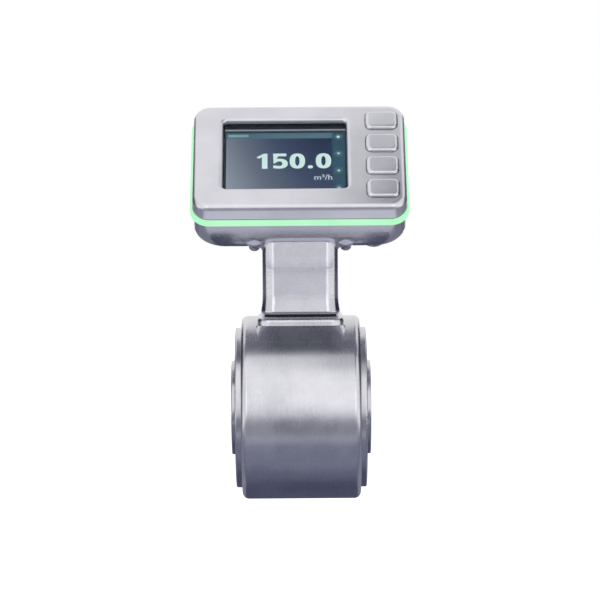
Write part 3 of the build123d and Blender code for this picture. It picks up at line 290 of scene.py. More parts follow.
@dataclass(frozen=True)
class Glass:
    """Flat toughened glass with an anti-reflective coat: nearly clear, with the faintest haze."""

    name: str = "toughened_glass"
    roughness: float = 0.02
    ior: float = 1.12
    specular: float = 0.3
    haze_mm: float = 9.0

    def build(self) -> bpy.types.Material:
        """Make the material."""
        material, tree, shader = start_material(self.name)
        shader.inputs["Base Color"].default_value = linear("F4F8F8")
        shader.inputs["Transmission Weight"].default_value = 1.0
        shader.inputs["IOR"].default_value = self.ior
        shader.inputs["Specular IOR Level"].default_value = self.specular
        place = add_node(tree, "ShaderNodeTexCoord").outputs["Object"]
        haze = add_node(
            tree, "ShaderNodeTexNoise", {"Scale": 1 / (self.haze_mm * MM), "Detail": 3.0}, {"Vector": place}
        ).outputs["Fac"]
        gloss = add_node(
            tree, "ShaderNodeMapRange", {"To Min": 0.0, "To Max": self.roughness * 2}, {"Value": haze}
        )
        tree.links.new(gloss.outputs["Result"], shader.inputs["Roughness"])
        return material


@dataclass(frozen=True)
class ScreenFieldPaintedReflection:
    """Lit background of the display: deep blue, paler towards the left and the lower edge, where a painted
    reflection of a soft light lies on it.
    """

    name: str = "display_background_painted_reflection"
    stops: tuple[tuple[float, str], ...] = (
        (0.0, "1E2C4A"), (0.3, "3F4B65"), (0.6, "646D7E"), (1.0, "939AA8"),
    )
    strength: float = 1.0

    def build(self) -> bpy.types.Material:
        """Make the material, whose tone follows the display's own width and height; the paler left and
        lower parts are a painted reflection.
        """
        material, tree, shader = start_material(self.name)
        shader.inputs["Roughness"].default_value = 0.5
        shader.inputs["Specular IOR Level"].default_value = 0.0
        shader.inputs["Base Color"].default_value = (0.002, 0.002, 0.003, 1.0)
        shader.inputs["Emission Strength"].default_value = self.strength
        uv = add_node(tree, "ShaderNodeUVMap", {"uv_map": "screen"}).outputs["UV"]
        split = add_node(tree, "ShaderNodeSeparateXYZ", {}, {"Vector": uv})
        # Painted reflection: the glow is paler towards the left and the lower edge, as if a soft light were
        # mirrored in the glass.
        left = add_node(
            tree, "ShaderNodeMapRange", {"From Min": 0.85, "From Max": 0.0}, {"Value": split.outputs["X"]}
        ).outputs["Result"]
        bent = add_node(tree, "ShaderNodeMath", {"operation": "POWER", 1: 1.5}, {0: left}).outputs[0]
        low = add_node(
            tree, "ShaderNodeMapRange", {"From Min": 1.0, "From Max": 0.0, "To Max": 0.3},
            {"Value": split.outputs["Y"]},
        ).outputs["Result"]
        painted_reflection = add_node(
            tree, "ShaderNodeMath", {"operation": "MULTIPLY_ADD", 1: 0.69, "use_clamp": True},
            {0: bent, 2: low},
        ).outputs[0]
        tone = add_node(tree, "ShaderNodeValToRGB", {}, {"Fac": painted_reflection})
        shade_ramp(tone.color_ramp, self.stops)
        tree.links.new(tone.outputs["Color"], shader.inputs["Emission Color"])
        return material


class Finishes:
    """Every finish of the flow meter, each made once and kept by its name."""

    def __init__(self) -> None:
        """Build the materials."""
        self.made: dict[str, bpy.types.Material] = {}
        for finish in (
            # Ground stainless steel: fine lines round the drum that pull highlights into streaks.
            Metal("ground_stainless_steel", "DCDCE1", "BEBEC6", 0.27, 0.05, 0.16, 0.22, Lay.AROUND_FLOW),
            # Turned stainless steel: rings on the flanges' faces.
            Metal("turned_stainless_steel", "D4D4D9", "BCBCC4", 0.24, 0.05, 0.22, 0.2, Lay.CONCENTRIC),
            # Bead-blasted stainless steel: an even matt sheen.
            Metal("blasted_stainless_steel", "E0E0E5", "CFCFD6", 0.3, 0.04, 0.3, 0.14, metallic=0.9),
            # Electropolished casting: smooth, with a soft ripple from the mould.
            Metal("electropolished_steel", "D0D0D6", "C0C0C7", 0.2, 0.05, 1.4, 0.05),
            # Machined stainless steel of screws and fittings.
            Metal("screw_steel", "CACACF", "A9A9B0", 0.22, 0.06, 0.12, 0.12),
            # Soft iron, zinc plated: greyish and rather matt.
            Metal("zinc_plated_iron", "A9ACB0", "8B8E92", 0.42, 0.08, 0.5, 0.15),
            # Nickel-alloy electrodes: warm grey.
            Metal("electrode_alloy", "B7B0A6", "9B958C", 0.25, 0.05, 0.2, 0.1),
            # Enamelled copper wire.
            Metal("enamelled_copper", "C06A3A", "7E3B1C", 0.35, 0.08, 0.35, 0.5),
            # Gold-plated contacts.
            Metal("gold_plate", "E3B65A", "C4953F", 0.2, 0.05, 0.2, 0.05),
            # Brass pillars.
            Metal("brass", "C9A55C", "A98643", 0.3, 0.05, 0.2, 0.1),
            # Fluoropolymer liner: off-white, waxy.
            Plastic("fluoropolymer_liner", "E4E2DA", "D6D3C9", 0.38, 0.8, 0.05),
            # Glass-filled nylon in black.
            Plastic("black_nylon", "232426", "17181A", 0.5, 0.3, 0.15),
            # Natural nylon of the coil bobbins.
            Plastic("natural_nylon", "D9D2BE", "C7BFA8", 0.45, 0.5, 0.1),
            # Rubber seals: nearly black, matt.
            Plastic("seal_rubber", "1E1F22", "141518", 0.65, 0.25, 0.2, 0.35),
            # Grey foam of the window's gasket, matt, which shows round the picture.
            Plastic("gasket_foam", "5C626E", "505661", 0.7, 0.5, 0.2, 0.2),
            # Circuit board: green solder mask.
            Plastic("solder_mask", "1F6B43", "175637", 0.35, 0.6, 0.1),
            # White circuit board of the light bars.
            Plastic("white_solder_mask", "DDE0DC", "CDD1CC", 0.4, 0.6, 0.1),
            # Sheath of the inner cable.
            Plastic("cable_sheath", "4A4D52", "3C3F44", 0.5, 0.3, 0.1),
            # Dark grey edge of the display.
            Plastic("display_border", "3A414C", "323842", 0.5, 0.5, 0.02, 0.1),
            # Milky plastic of the light ring, lit from inside in pale green.
            Glow("lit_diffuser", "BCFBCD", "B2F8C6", specular=0.3),
            # Parts of the display's picture, and a glowing line above it on the frame, which is a painted
            # highlight.
            Glow("display_status_bar", "547481", "4B6A78"),
            Glow("display_menu_column", "35566A", "2C4A5C"),
            # Painted highlight: a glowing strip along the frame's edge above the picture.
            Glow("display_rim_painted_highlight", "99A1AC", "8D95A1"),
            Glow("display_gauge_blocks", "8FC0BF", "7CADAE"),
            Glow("display_numbers", "D9F1EC", "CFE9E4"),
            Glow("display_unit_text", "C4CFDA", "B7C3CF"),
            Glow("display_marks", "DCE6E8", "CBD8DB"),
            Glow("display_dim_marks", "496E74", "41656C"),
            # Display background, with a painted reflection in its glow.
            ScreenFieldPaintedReflection(),
            Glass(),
        ):
            self.made[finish.name] = finish.build()

    def dress(self, node: str, finish: str) -> None:
        """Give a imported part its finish.

        Args:
            node: The part's name.
            finish: The finish's name.
        """
        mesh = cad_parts[node].data
        if not mesh.materials:
            mesh.materials.append(self.made[finish])
        for index in range(len(mesh.materials)):
            mesh.materials[index] = self.made[finish]
        LOG.info("%s: %s", node, finish)


def finish_piece(piece: bpy.types.Object, material: bpy.types.Material | None) -> None:
    """Dress a new piece, smooth it by angle and let it ride on the housing.

    Args:
        piece: The piece, with its place in its mesh.
        material: Its material, or None where its faces already have theirs.
    """
    if material is not None:
        piece.data.materials.clear()
        piece.data.materials.append(material)
    piece.data.shade_smooth()
    piece.data.set_sharp_from_angle(angle=SMOOTH_ANGLE)
    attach(piece, "housing")
    LOG.info("%s: %d faces", piece.name, len(piece.data.polygons))


def link_mesh(name: str, mesh: bpy.types.Mesh) -> bpy.types.Object:
    """Put a mesh into the scene as an object at the origin."""
    piece = bpy.data.objects.new(name, mesh)
    bpy.context.scene.collection.objects.link(piece)
    return piece


def mesh_from_bm(name: str, bm: bmesh.types.BMesh, place: Matrix) -> bpy.types.Object:
    """Turn a bmesh into an object, with its place in its mesh.

    Args:
        name: The piece's name.
        bm: The built form; it is freed.
        place: Where it goes.

    Returns:
        The new object.
    """
    bmesh.ops.remove_doubles(bm, verts=bm.verts, dist=WELD)
    bmesh.ops.recalc_face_normals(bm, faces=bm.faces)
    mesh = bpy.data.meshes.new(name)
    bm.to_mesh(mesh)
    bm.free()
    mesh.transform(place)
    return link_mesh(name, mesh)


class NodeShape:
    """A Geometry Nodes tree with named inputs, run once and kept as a plain mesh."""

    def __init__(self, name: str, inputs: dict[str, float | int]) -> None:
        """Start the tree.

        Args:
            name: The tree's name.
            inputs: Each input's name and value; whole numbers make whole-number sockets.
        """
        self.tree = bpy.data.node_groups.new(name, "GeometryNodeTree")
        self.values = inputs
        for key, value in inputs.items():
            kind = "NodeSocketInt" if isinstance(value, int) else "NodeSocketFloat"
            self.tree.interface.new_socket(key, in_out="INPUT", socket_type=kind)
        self.tree.interface.new_socket("Geometry", in_out="OUTPUT", socket_type="NodeSocketGeometry")
        self.inputs = add_node(self.tree, "NodeGroupInput").outputs

    def add(self, kind: str, settings: dict | None = None, links: dict | None = None) -> bpy.types.Node:
        """Add a node to the tree."""
        return add_node(self.tree, kind, settings, links)

    def make(
        self, name: str, shape: bpy.types.NodeSocket, material: bpy.types.Material, place: Matrix
    ) -> bpy.types.Object:
        """Close the tree, run it and keep its result as a mesh.

        Args:
            name: The piece's name.
            shape: The socket that holds the finished shape.
            material: The material of all its faces.
            place: Where the piece goes.

        Returns:
            The new piece, at the origin, with its place in its mesh.
        """
        real = self.add("GeometryNodeRealizeInstances", {}, {"Geometry": shape}).outputs[0]
        painted = self.add(
            "GeometryNodeSetMaterial", {"Material": material}, {"Geometry": real}
        ).outputs[0]
        self.add("NodeGroupOutput", {}, {"Geometry": painted})
        seed = link_mesh(name + "_seed", bpy.data.meshes.new(name + "_seed"))
        modifier = seed.modifiers.new("shape", "NODES")
        modifier.node_group = self.tree
        for item in self.tree.interface.items_tree:
            if item.in_out == "INPUT":
                modifier[item.identifier] = self.values[item.name]
        graph = bpy.context.evaluated_depsgraph_get()
        mesh = bpy.data.meshes.new_from_object(seed.evaluated_get(graph))
        seed.modifiers.clear()
        bpy.data.objects.remove(seed)
        mesh.name = name
        mesh.transform(place)
        if not mesh.materials:
            mesh.materials.append(material)
        return link_mesh(name, mesh)


@dataclass
class SensorBody:
    """Drum with its two stepped end flanges, the tapped holes and everything inside."""

    flange_face: float = 31.6 * MM
    bolt_circle: float = 31.0 * MM
    bolt_count: int = 6
    hole_radius: float = 2.5 * MM
    thread_depth: float = 8.6 * MM
    thread_pitch: float = 0.8 * MM
    thread_height: float = 0.36 * MM
    thread_run_out: float = 0.25 * MM
    finishes: dict[str, str] = field(default_factory=lambda: {
        "body_housing": "ground_stainless_steel",
        "end_flange_left": "turned_stainless_steel",
        "end_flange_right": "turned_stainless_steel",
        "bore_seals": "seal_rubber",
        "measuring_tube": "turned_stainless_steel",
        "tube_liner": "fluoropolymer_liner",
        "electrode_front": "electrode_alloy",
        "electrode_rear": "electrode_alloy",
        "full_pipe_electrode": "electrode_alloy",
        "electrode_sleeves": "natural_nylon",
        "electrode_nuts": "screw_steel",
        "pole_shoe_upper": "zinc_plated_iron",
        "pole_shoe_lower": "zinc_plated_iron",
        "magnet_yoke": "zinc_plated_iron",
        "coil_bobbin_upper": "natural_nylon",
        "coil_bobbin_lower": "natural_nylon",
        "field_coil_upper": "enamelled_copper",
        "field_coil_lower": "enamelled_copper",
        "sensor_board": "solder_mask",
        "sensor_board_pillars": "brass",
        "neck_seal": "seal_rubber",
        "neck_screws": "screw_steel",
    })

    def build(self, finishes: Finishes) -> None:
        """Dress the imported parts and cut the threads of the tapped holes."""
        for node, finish in self.finishes.items():
            finishes.dress(node, finish)
        for side, name in ((-1, "flange_threads_left"), (1, "flange_threads_right")):
            self.hole_threads(name, side, finishes.made["screw_steel"])

    def hole_threads(self, name: str, side: int, material: bpy.types.Material) -> None:
        """Make the thread ridges of one flange's tapped holes.

        Args:
            name: The piece's name.
            side: -1 for the left flange, 1 for the right one.
            material: The material of the ridges.
        """
        shape = NodeShape(name + "_tree", {
            "Hole radius": self.hole_radius,
            "Pitch radius": self.bolt_circle,
            "Holes": self.bolt_count,
            "Ridge": self.thread_height,
            "Turns": self.thread_depth / self.thread_pitch,
            "Depth": self.thread_depth,
        })
        spiral = shape.add(
            "GeometryNodeCurveSpiral", {"Resolution": 20},
            {
                "Rotations": shape.inputs["Turns"], "Start Radius": shape.inputs["Hole radius"],
                "End Radius": shape.inputs["Hole radius"], "Height": shape.inputs["Depth"],
            },
        )
        profile = shape.add(
            "GeometryNodeCurvePrimitiveCircle", {"Resolution": 4}, {"Radius": shape.inputs["Ridge"]}
        )
        ridge = shape.add(
            "GeometryNodeCurveToMesh", {"Fill Caps": True},
            {"Curve": spiral.outputs[0], "Profile Curve": profile.outputs[0]},
        )
        circle = shape.add(
            "GeometryNodeMeshCircle", {},
            {"Vertices": shape.inputs["Holes"], "Radius": shape.inputs["Pitch radius"]},
        )
        copies = shape.add(
            "GeometryNodeInstanceOnPoints", {},
            {"Points": circle.outputs[0], "Instance": ridge.outputs[0]},
        )
        start = self.flange_face - self.thread_depth - self.thread_run_out
        place = Matrix.Rotation(math.radians(90 * side), 4, "Y") @ Matrix.Translation((0, 0, start))
        piece = shape.make(name, copies.outputs[0], material, place)
        finish_piece(piece, None)


@dataclass
class DisplayHead:
    """Tilted head: bezel, glass, keys, light ring, rear shell and what is inside."""

    finishes: dict[str, str] = field(default_factory=lambda: {
        "rear_housing": "electropolished_steel",
        "front_bezel": "blasted_stainless_steel",
        "ring_seal_front": "seal_rubber",
        "ring_seal_rear": "seal_rubber",
        "light_ring": "lit_diffuser",
        "light_bars": "white_solder_mask",
        "window_glass": "toughened_glass",
        "window_gasket": "gasket_foam",
        "display_panel": "display_border",
        "display_frame": "black_nylon",
        "key_switches": "black_nylon",
        "key_board": "solder_mask",
        "key_board_spacers": "brass",
        "main_board": "solder_mask",
        "board_screws": "screw_steel",
        "signal_plug": "black_nylon",
        "signal_cable": "cable_sheath",
    })

    def build(self, finishes: Finishes) -> None:
        """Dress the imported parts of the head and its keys."""
        for node, finish in self.finishes.items():
            finishes.dress(node, finish)
        for number in (1, 2, 3, 4):
            finishes.dress(f"key_cap_{number}", "blasted_stainless_steel")
            finishes.dress(f"key_seal_{number}", "seal_rubber")
            finishes.dress(f"switch_plunger_{number}", "black_nylon")


class Symbol(Enum):
    """Mark beside a key on the display's menu column, as an outline in shares of its size."""

    STOP = ((-1.0, -1.0), (1.0, -1.0), (1.0, 1.0), (-1.0, 1.0))
    DOWN = ((0.0, -0.8), (1.3, 0.7), (-1.3, 0.7))
    BACK = ((-1.1, 0.0), (0.7, -1.1), (0.7, 1.1))
    UP = ((-1.4, -0.5), (-1.0, -1.0), (0.0, 0.1), (1.0, -1.0), (1.4, -0.5), (0.0, 0.9))


@dataclass(frozen=True)
class Pen:
    """Broad pen that draws digits ten units high, in units of a tenth of their height."""

    width: float = 1.8
    stretch: float = 1.47
    bow: float = 2.4
    steps: int = 48

    def oval(self, half_width: float, half_height: float) -> list[tuple[float, float]]:
        """Points round a full oval about the origin.

        Args:
            half_width: Half of its width.
            half_height: Half of its height.

        Returns:
            The points, anticlockwise.
        """
        points = []
        for index in range(self.steps):
            turn = 2 * math.pi * index / self.steps
            c, s = math.cos(turn), math.sin(turn)
            x = math.copysign(abs(c) ** (2 / self.bow), c) * half_width
            y = math.copysign(abs(s) ** (2 / self.bow), s) * half_height
            points.append((x, y))
        return points

    def ribbon(self, bm: bmesh.types.BMesh, line: list[tuple[float, float]], closed: bool) -> None:
        """Draw along a line with mitred corners.

        Args:
            bm: The mesh that takes the faces.
            line: The pen's path.
            closed: Whether the path ends where it starts.
        """
        path = [Vector(point) for point in line]
        count = len(path)
        edges = []
        for index, point in enumerate(path):
            before = path[index - 1] if index or closed else point * 2 - path[1]
            after = path[(index + 1) % count] if index < count - 1 or closed else point * 2 - path[-2]
            along = ((point - before).normalized() + (after - point).normalized()).normalized()
            side = Vector((-along.y, along.x))
            reach = self.width / 2 / max(0.5, along.dot((after - point).normalized()))
            edges.append([bm.verts.new((point + side * reach * way).to_3d()) for way in (1, -1)])
        for index in range(count if closed else count - 1):
            first, second = edges[index], edges[(index + 1) % count]
            bm.faces.new((first[0], first[1], second[1], second[0]))

    def draw(self, digit: str) -> bmesh.types.BMesh:
        """Draw one digit, from the left edge and the base line.

        Args:
            digit: One of 0, 1, 5 and the point.

        Returns:
            The digit's faces.
        """
        bm = bmesh.new()
        if digit == "0":
            wide, high, rim = 2.52, 5.0, self.width / 2
            ring = [(x + wide, y + high) for x, y in self.oval(wide - rim, high - rim)]
            self.ribbon(bm, ring, True)
        elif digit == "5":
            bowl = [(x + 2.1, y + 3.3) for x, y in self.oval(1.95, 2.4)]
            turn = self.steps // 4
            sweep = bowl[:turn + 4][::-1] + bowl[:-turn - 5:-1]
            self.ribbon(bm, [(4.5, 9.1), (0.98, 9.1), (0.84, 4.9)] + sweep + [(0.2, 1.15)], False)
        elif digit == "1":
            outline = [(1.8, 0.0), (3.6, 0.0), (3.6, 10.0), (2.4, 10.0), (0.0, 7.6), (0.7, 6.7), (1.8, 7.6)]
            bm.faces.new([bm.verts.new((x, y, 0.0)) for x, y in outline])
        else:
            wide, high = 0.85, 1.05
            dot = self.oval(wide, high)
            bm.faces.new([bm.verts.new((x + wide, y + high, 0.0)) for x, y in dot])
        return bm


@dataclass
class DisplayPicture:
    """What the display shows, as thin lit shapes in front of the panel; places are on the face."""

    left: float = -35.3 * MM
    right: float = 22.0 * MM
    low: float = -20.6 * MM
    high: float = 18.9 * MM
    front: float = -4.8 * MM
    lift: float = 0.012 * MM
    bar_height: float = 3.6 * MM
    column_left: float = 16.0 * MM
    rim_low: float = 20.5 * MM
    rim_height: float = 0.9 * MM
    rim_overhang: float = 0.6 * MM
    gauge_left: float = -34.2 * MM
    gauge_blocks: int = 8
    gauge_pitch: float = 1.25 * MM
    gauge_block_width: float = 0.8 * MM
    gauge_block_height: float = 1.5 * MM
    gauge_rise: float = 1.1 * MM
    digit_height: float = 10.0 * MM
    digit_base: float = -4.8 * MM
    digit_lefts: tuple[tuple[str, float], ...] = (
        ("1", -20.7 * MM), ("5", -12.9 * MM), ("0", -4.7 * MM), (".", 4.0 * MM), ("0", 7.9 * MM),
    )
    unit_left: float = 7.1 * MM
    unit_right: float = 15.7 * MM
    unit_base: float = -12.3 * MM
    unit_height: float = 3.4 * MM
    unit_boldness: float = 0.012
    mark_x: float = 18.9 * MM
    mark_size: float = 0.68 * MM
    mark_heights: tuple[float, ...] = (16.2 * MM, 5.0 * MM, -6.3 * MM, -17.4 * MM)
    field_radius: float = 2.0 * MM
    unit: str = "m³/h"

    def build(self, finishes: Finishes) -> None:
        """Make the background, with its painted reflection, the bars, the painted highlight above them, the
        reading and the marks.
        """
        self.finishes = finishes
        self.background()
        bar_low = self.high - self.bar_height
        rim_left, rim_right = self.left - self.rim_overhang, self.right + self.rim_overhang
        rim_high = self.rim_low + self.rim_height
        self.strip("display_status_bar", self.left, bar_low, self.column_left, self.high)
        self.strip("display_menu_column", self.column_left, self.low, self.right, self.high)
        # Painted highlight: a lit line along the frame above the picture, made to glow.
        self.strip("display_rim_painted_highlight", rim_left, self.rim_low, rim_right, rim_high)
        self.gauge(bar_low + self.gauge_rise)
        self.reading()
        self.unit_text()
        for number, (symbol, v) in enumerate(zip(Symbol, self.mark_heights), start=1):
            self.mark(number, symbol, v)

    def keep(self, name: str, bm: bmesh.types.BMesh, layer: int, finish: str) -> None:
        """Place a flat shape on its layer and dress it.

        Args:
            name: The piece's name.
            bm: Its faces, in places on the face.
            layer: How far in front of the background it lies.
            finish: Its finish.
        """
        for face in bm.faces:
            face.normal_update()
            if face.normal.z < 0:
                face.normal_flip()
        mesh = bpy.data.meshes.new(name)
        bm.to_mesh(mesh)
        bm.free()
        mesh.transform(FACE @ Matrix.Translation((0, 0, self.front + self.lift * (layer + 1))))
        finish_piece(link_mesh(name, mesh), self.finishes.made[finish])

    def background(self) -> None:
        """Make the lit field, whose finish carries a painted reflection, with its own width and height as
        coordinates.
        """
        bm = bmesh.new()
        corners = [(0, 0), (1, 0), (1, 1), (0, 1)]
        width, height = self.right - self.left, self.high - self.low
        verts = [bm.verts.new((self.left + x * width, self.low + y * height, 0)) for x, y in corners]
        face = bm.faces.new(verts)
        layer = bm.loops.layers.uv.new("screen")
        for loop, corner in zip(face.loops, corners):
            loop[layer].uv = corner
        # The background's finish carries a painted reflection.
        self.keep("display_background_painted_reflection", bm, 0, "display_background_painted_reflection")

    def add_rectangle(
        self, bm: bmesh.types.BMesh, left: float, low: float, right: float, high: float
    ) -> None:
        """Add a rectangle to a flat shape.

        Args:
            bm: The mesh that takes the face.
            left: Its left edge.
            low: Its lower edge.
            right: Its right edge.
            high: Its upper edge.
        """
        corners = ((left, low), (right, low), (right, high), (left, high))
        bm.faces.new([bm.verts.new((x, v, 0)) for x, v in corners])

    def strip(self, name: str, left: float, low: float, right: float, high: float) -> None:
        """Make a plain lit rectangle just in front of the background.

        Args:
            name: The piece's name, which its finish has too.
            left: Its left edge.
            low: Its lower edge.
            right: Its right edge.
            high: Its upper edge.
        """
        bm = bmesh.new()
        self.add_rectangle(bm, left, low, right, high)
        self.keep(name, bm, 1, name)

    def gauge(self, low: float) -> None:
        """Make a row of plain level blocks in the status bar.

        Args:
            low: The lower edge of the blocks.
        """
        bm = bmesh.new()
        for index in range(self.gauge_blocks):
            left = self.gauge_left + index * self.gauge_pitch
            right = left + self.gauge_block_width
            self.add_rectangle(bm, left, low, right, low + self.gauge_block_height)
        self.keep("display_level_gauge", bm, 2, "display_gauge_blocks")

    def reading(self) -> None:
        """Draw the reading, one digit after the other."""
        pen = Pen()
        unit = self.digit_height / 10
        scale = Matrix.Diagonal((unit * pen.stretch, unit, 1.0, 1.0))
        for number, (digit, left) in enumerate(self.digit_lefts, start=1):
            bm = pen.draw(digit)
            bm.transform(Matrix.Translation((left, self.digit_base, 0)) @ scale)
            self.keep(f"display_digit_{number}", bm, 2, "display_numbers")

    def unit_text(self) -> None:
        """Write the unit below the reading, between its two edges."""
        curve = bpy.data.curves.new("display_unit", "FONT")
        curve.body = self.unit
        curve.offset = self.unit_boldness
        curve.resolution_u = 6
        maker = bpy.data.objects.new("display_unit_maker", curve)
        bpy.context.scene.collection.objects.link(maker)
        graph = bpy.context.evaluated_depsgraph_get()
        mesh = bpy.data.meshes.new_from_object(maker.evaluated_get(graph))
        bpy.data.objects.remove(maker)
        xs = [v.co.x for v in mesh.vertices]
        across = (self.unit_right - self.unit_left) / (max(xs) - min(xs))
        up = self.unit_height / max(v.co.y for v in mesh.vertices)
        start = self.unit_left - min(xs) * across
        bm = bmesh.new()
        bm.from_mesh(mesh)
        bpy.data.meshes.remove(mesh)
        place = Matrix.Translation((start, self.unit_base, 0)) @ Matrix.Diagonal((across, up, 1.0, 1.0))
        bm.transform(place)
        self.keep("display_unit", bm, 2, "display_unit_text")

    def mark(self, number: int, symbol: Symbol, v: float) -> None:
        """Make one menu mark in its dim round field.

        Args:
            number: Which key it stands beside, from the top.
            symbol: What it shows.
            v: Its height on the face.
        """
        bm = bmesh.new()
        place = Matrix.Translation((self.mark_x, v, 0))
        bmesh.ops.create_circle(bm, cap_ends=True, segments=32, radius=self.field_radius, matrix=place)
        self.keep(f"display_field_{number}", bm, 2, "display_dim_marks")
        bm = bmesh.new()
        size = self.mark_size
        bm.faces.new([bm.verts.new((self.mark_x + x * size, v + y * size, 0)) for x, y in symbol.value])
        self.keep(f"display_mark_{number}", bm, 3, "display_marks")


@dataclass
class RearFittings:
    """Screws, vent plug and the round connector at the back of the head."""

    finishes: dict[str, str] = field(default_factory=lambda: {
        "shell_screws": "screw_steel",
        "shell_screw_seals": "seal_rubber",
        "connector_body": "screw_steel",
        "connector_seal": "seal_rubber",
        "connector_nut": "screw_steel",
        "connector_insert": "black_nylon",
        "connector_pins": "gold_plate",
        "connector_lead": "cable_sheath",
        "vent_plug": "black_nylon",
    })

    def build(self, finishes: Finishes) -> None:
        """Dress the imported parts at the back."""
        for node, finish in self.finishes.items():
            finishes.dress(node, finish)


@dataclass
class Studio:
    """Camera, pale floor, soft lights and the cards that shape metal; lengths in metres."""

    target_x: float = -0.2 * MM
    target_height: float = 52.2 * MM
    distance: float = 1.458
    lens: float = 180.0
    elevation: float = 4.0
    roll: float = -0.42
    floor_height: float = -0.42
    floor_size: float = 12.0
    floor_glow: float = 0.65
    soft_light: float = 0.7
    backdrop_light: float = 1.0
    lamp_aim: tuple[float, float, float] = (0.0, 0.0, 0.06)
    card_height: float = -0.105
    card_reach: float = 0.4
    behind_near_far: tuple[float, float] = (-0.02, 0.8)
    behind_half_width: float = 0.06
    between_near_far: tuple[float, float] = (-0.045, -0.021)
    between_height: float = 0.068
    between_half_width: float = 0.016
    underside_gap: float = 0.05 * MM
    above_height: float = 0.30
    side_card_x: float = 0.32
    side_card_near_far: tuple[float, float] = (-0.03, 0.6)
    side_card_split: float = 0.045
    side_card_top: float = 0.30

    def build(self) -> None:
        """Make the camera, the world, the floor, the lamps and the cards."""
        self.camera()
        self.world()
        self.floor()
        self.lamps()
        self.cards()
        bpy.context.scene.view_settings.view_transform = "Standard"

    def camera(self) -> None:
        """Place the camera at the photograph's viewing angle."""
        data = bpy.data.cameras.new("camera")
        data.lens = self.lens
        data.sensor_width = 36.0
        data.clip_start = 0.05
        data.clip_end = 50.0
        camera = bpy.data.objects.new("camera", data)
        bpy.context.scene.collection.objects.link(camera)
        angle = math.radians(self.elevation)
        back = Vector((0.0, -math.cos(angle), math.sin(angle)))
        camera.location = Vector((self.target_x, 0.0, self.target_height)) + back * self.distance
        turn = (-back).to_track_quat("-Z", "Y") @ Quaternion((0, 0, 1), math.radians(self.roll))
        camera.rotation_mode = "QUATERNION"
        camera.rotation_quaternion = turn
        bpy.context.scene.camera = camera

    def seen_or_reflected(self, tree: bpy.types.NodeTree) -> bpy.types.NodeSocket:
        """Make a socket that is 1 for rays that are seen, reflected or passed through glass."""
        path = add_node(tree, "ShaderNodeLightPath").outputs
        first = add_node(
            tree, "ShaderNodeMath", {"operation": "MAXIMUM"},
            {0: path["Is Camera Ray"], 1: path["Is Glossy Ray"]},
        ).outputs[0]
        return add_node(
            tree, "ShaderNodeMath", {"operation": "MAXIMUM"}, {0: first, 1: path["Is Transmission Ray"]}
        ).outputs[0]

    def world(self) -> None:
        """Fill the room with a white backdrop and a weaker even light."""
        world = bpy.data.worlds.new("studio")
        bpy.context.scene.world = world
        world.use_nodes = True
        tree = world.node_tree
        tree.nodes.clear()
        soft = add_node(tree, "ShaderNodeBackground", {"Color": (1, 1, 1, 1), "Strength": self.soft_light})
        white = add_node(
            tree, "ShaderNodeBackground", {"Color": (1, 1, 1, 1), "Strength": self.backdrop_light}
        )
        mix = add_node(
            tree, "ShaderNodeMixShader", {},
            {0: self.seen_or_reflected(tree), 1: soft.outputs[0], 2: white.outputs[0]},
        )
        add_node(tree, "ShaderNodeOutputWorld", {}, {"Surface": mix.outputs[0]})

    def floor(self) -> None:
        """Lay a plain pale floor well below the meter, which its pipe holds."""
        bm = bmesh.new()
        bmesh.ops.create_grid(bm, x_segments=1, y_segments=1, size=self.floor_size / 2)
        piece = mesh_from_bm("floor", bm, Matrix.Translation((0, 0, self.floor_height)))
        material, tree, shader = start_material("pale_floor")
        shader.inputs["Base Color"].default_value = linear("F4F4F4")
        shader.inputs["Roughness"].default_value = 0.9
        shader.inputs["Specular IOR Level"].default_value = 0.0
        glow = add_node(tree, "ShaderNodeEmission", {"Strength": self.floor_glow})
        clear = add_node(tree, "ShaderNodeEmission", {"Strength": 0.0})
        lift = add_node(
            tree, "ShaderNodeMixShader", {},
            {0: self.seen_or_reflected(tree), 1: clear.outputs[0], 2: glow.outputs[0]},
        )
        both = add_node(tree, "ShaderNodeAddShader", {}, {0: shader.outputs[0], 1: lift.outputs[0]})
        tree.links.new(both.outputs[0], tree.nodes["Material Output"].inputs["Surface"])
        piece.data.materials.append(material)

    def lamp(
        self, name: str, spot: tuple[float, float, float], size: tuple[float, float], power: float
    ) -> None:
        """Add a soft rectangular lamp that faces the middle of the meter.

        Args:
            name: The lamp's name.
            spot: Where it hangs.
            size: Its width and height.
            power: Its power in watts.
        """
        data = bpy.data.lights.new(name, "AREA")
        data.shape = "RECTANGLE"
        data.size, data.size_y = size
        data.energy = power
        lamp = bpy.data.objects.new(name, data)
        bpy.context.scene.collection.objects.link(lamp)
        lamp.location = spot
        lamp.rotation_mode = "QUATERNION"
        lamp.rotation_quaternion = (Vector(self.lamp_aim) - Vector(spot)).to_track_quat("-Z", "Y")

    def lamps(self) -> None:
        """Hang a big soft box in front above, and a strip on each side of the camera."""
        self.lamp("soft_box", (-0.35, -1.5, 1.5), (1.6, 1.0), 0.85)
        for name, x in (("strip_left", -0.5), ("strip_right", 0.5)):
            self.lamp(name, (x, -1.6, 0.25), (0.45, 1.2), 1.3)

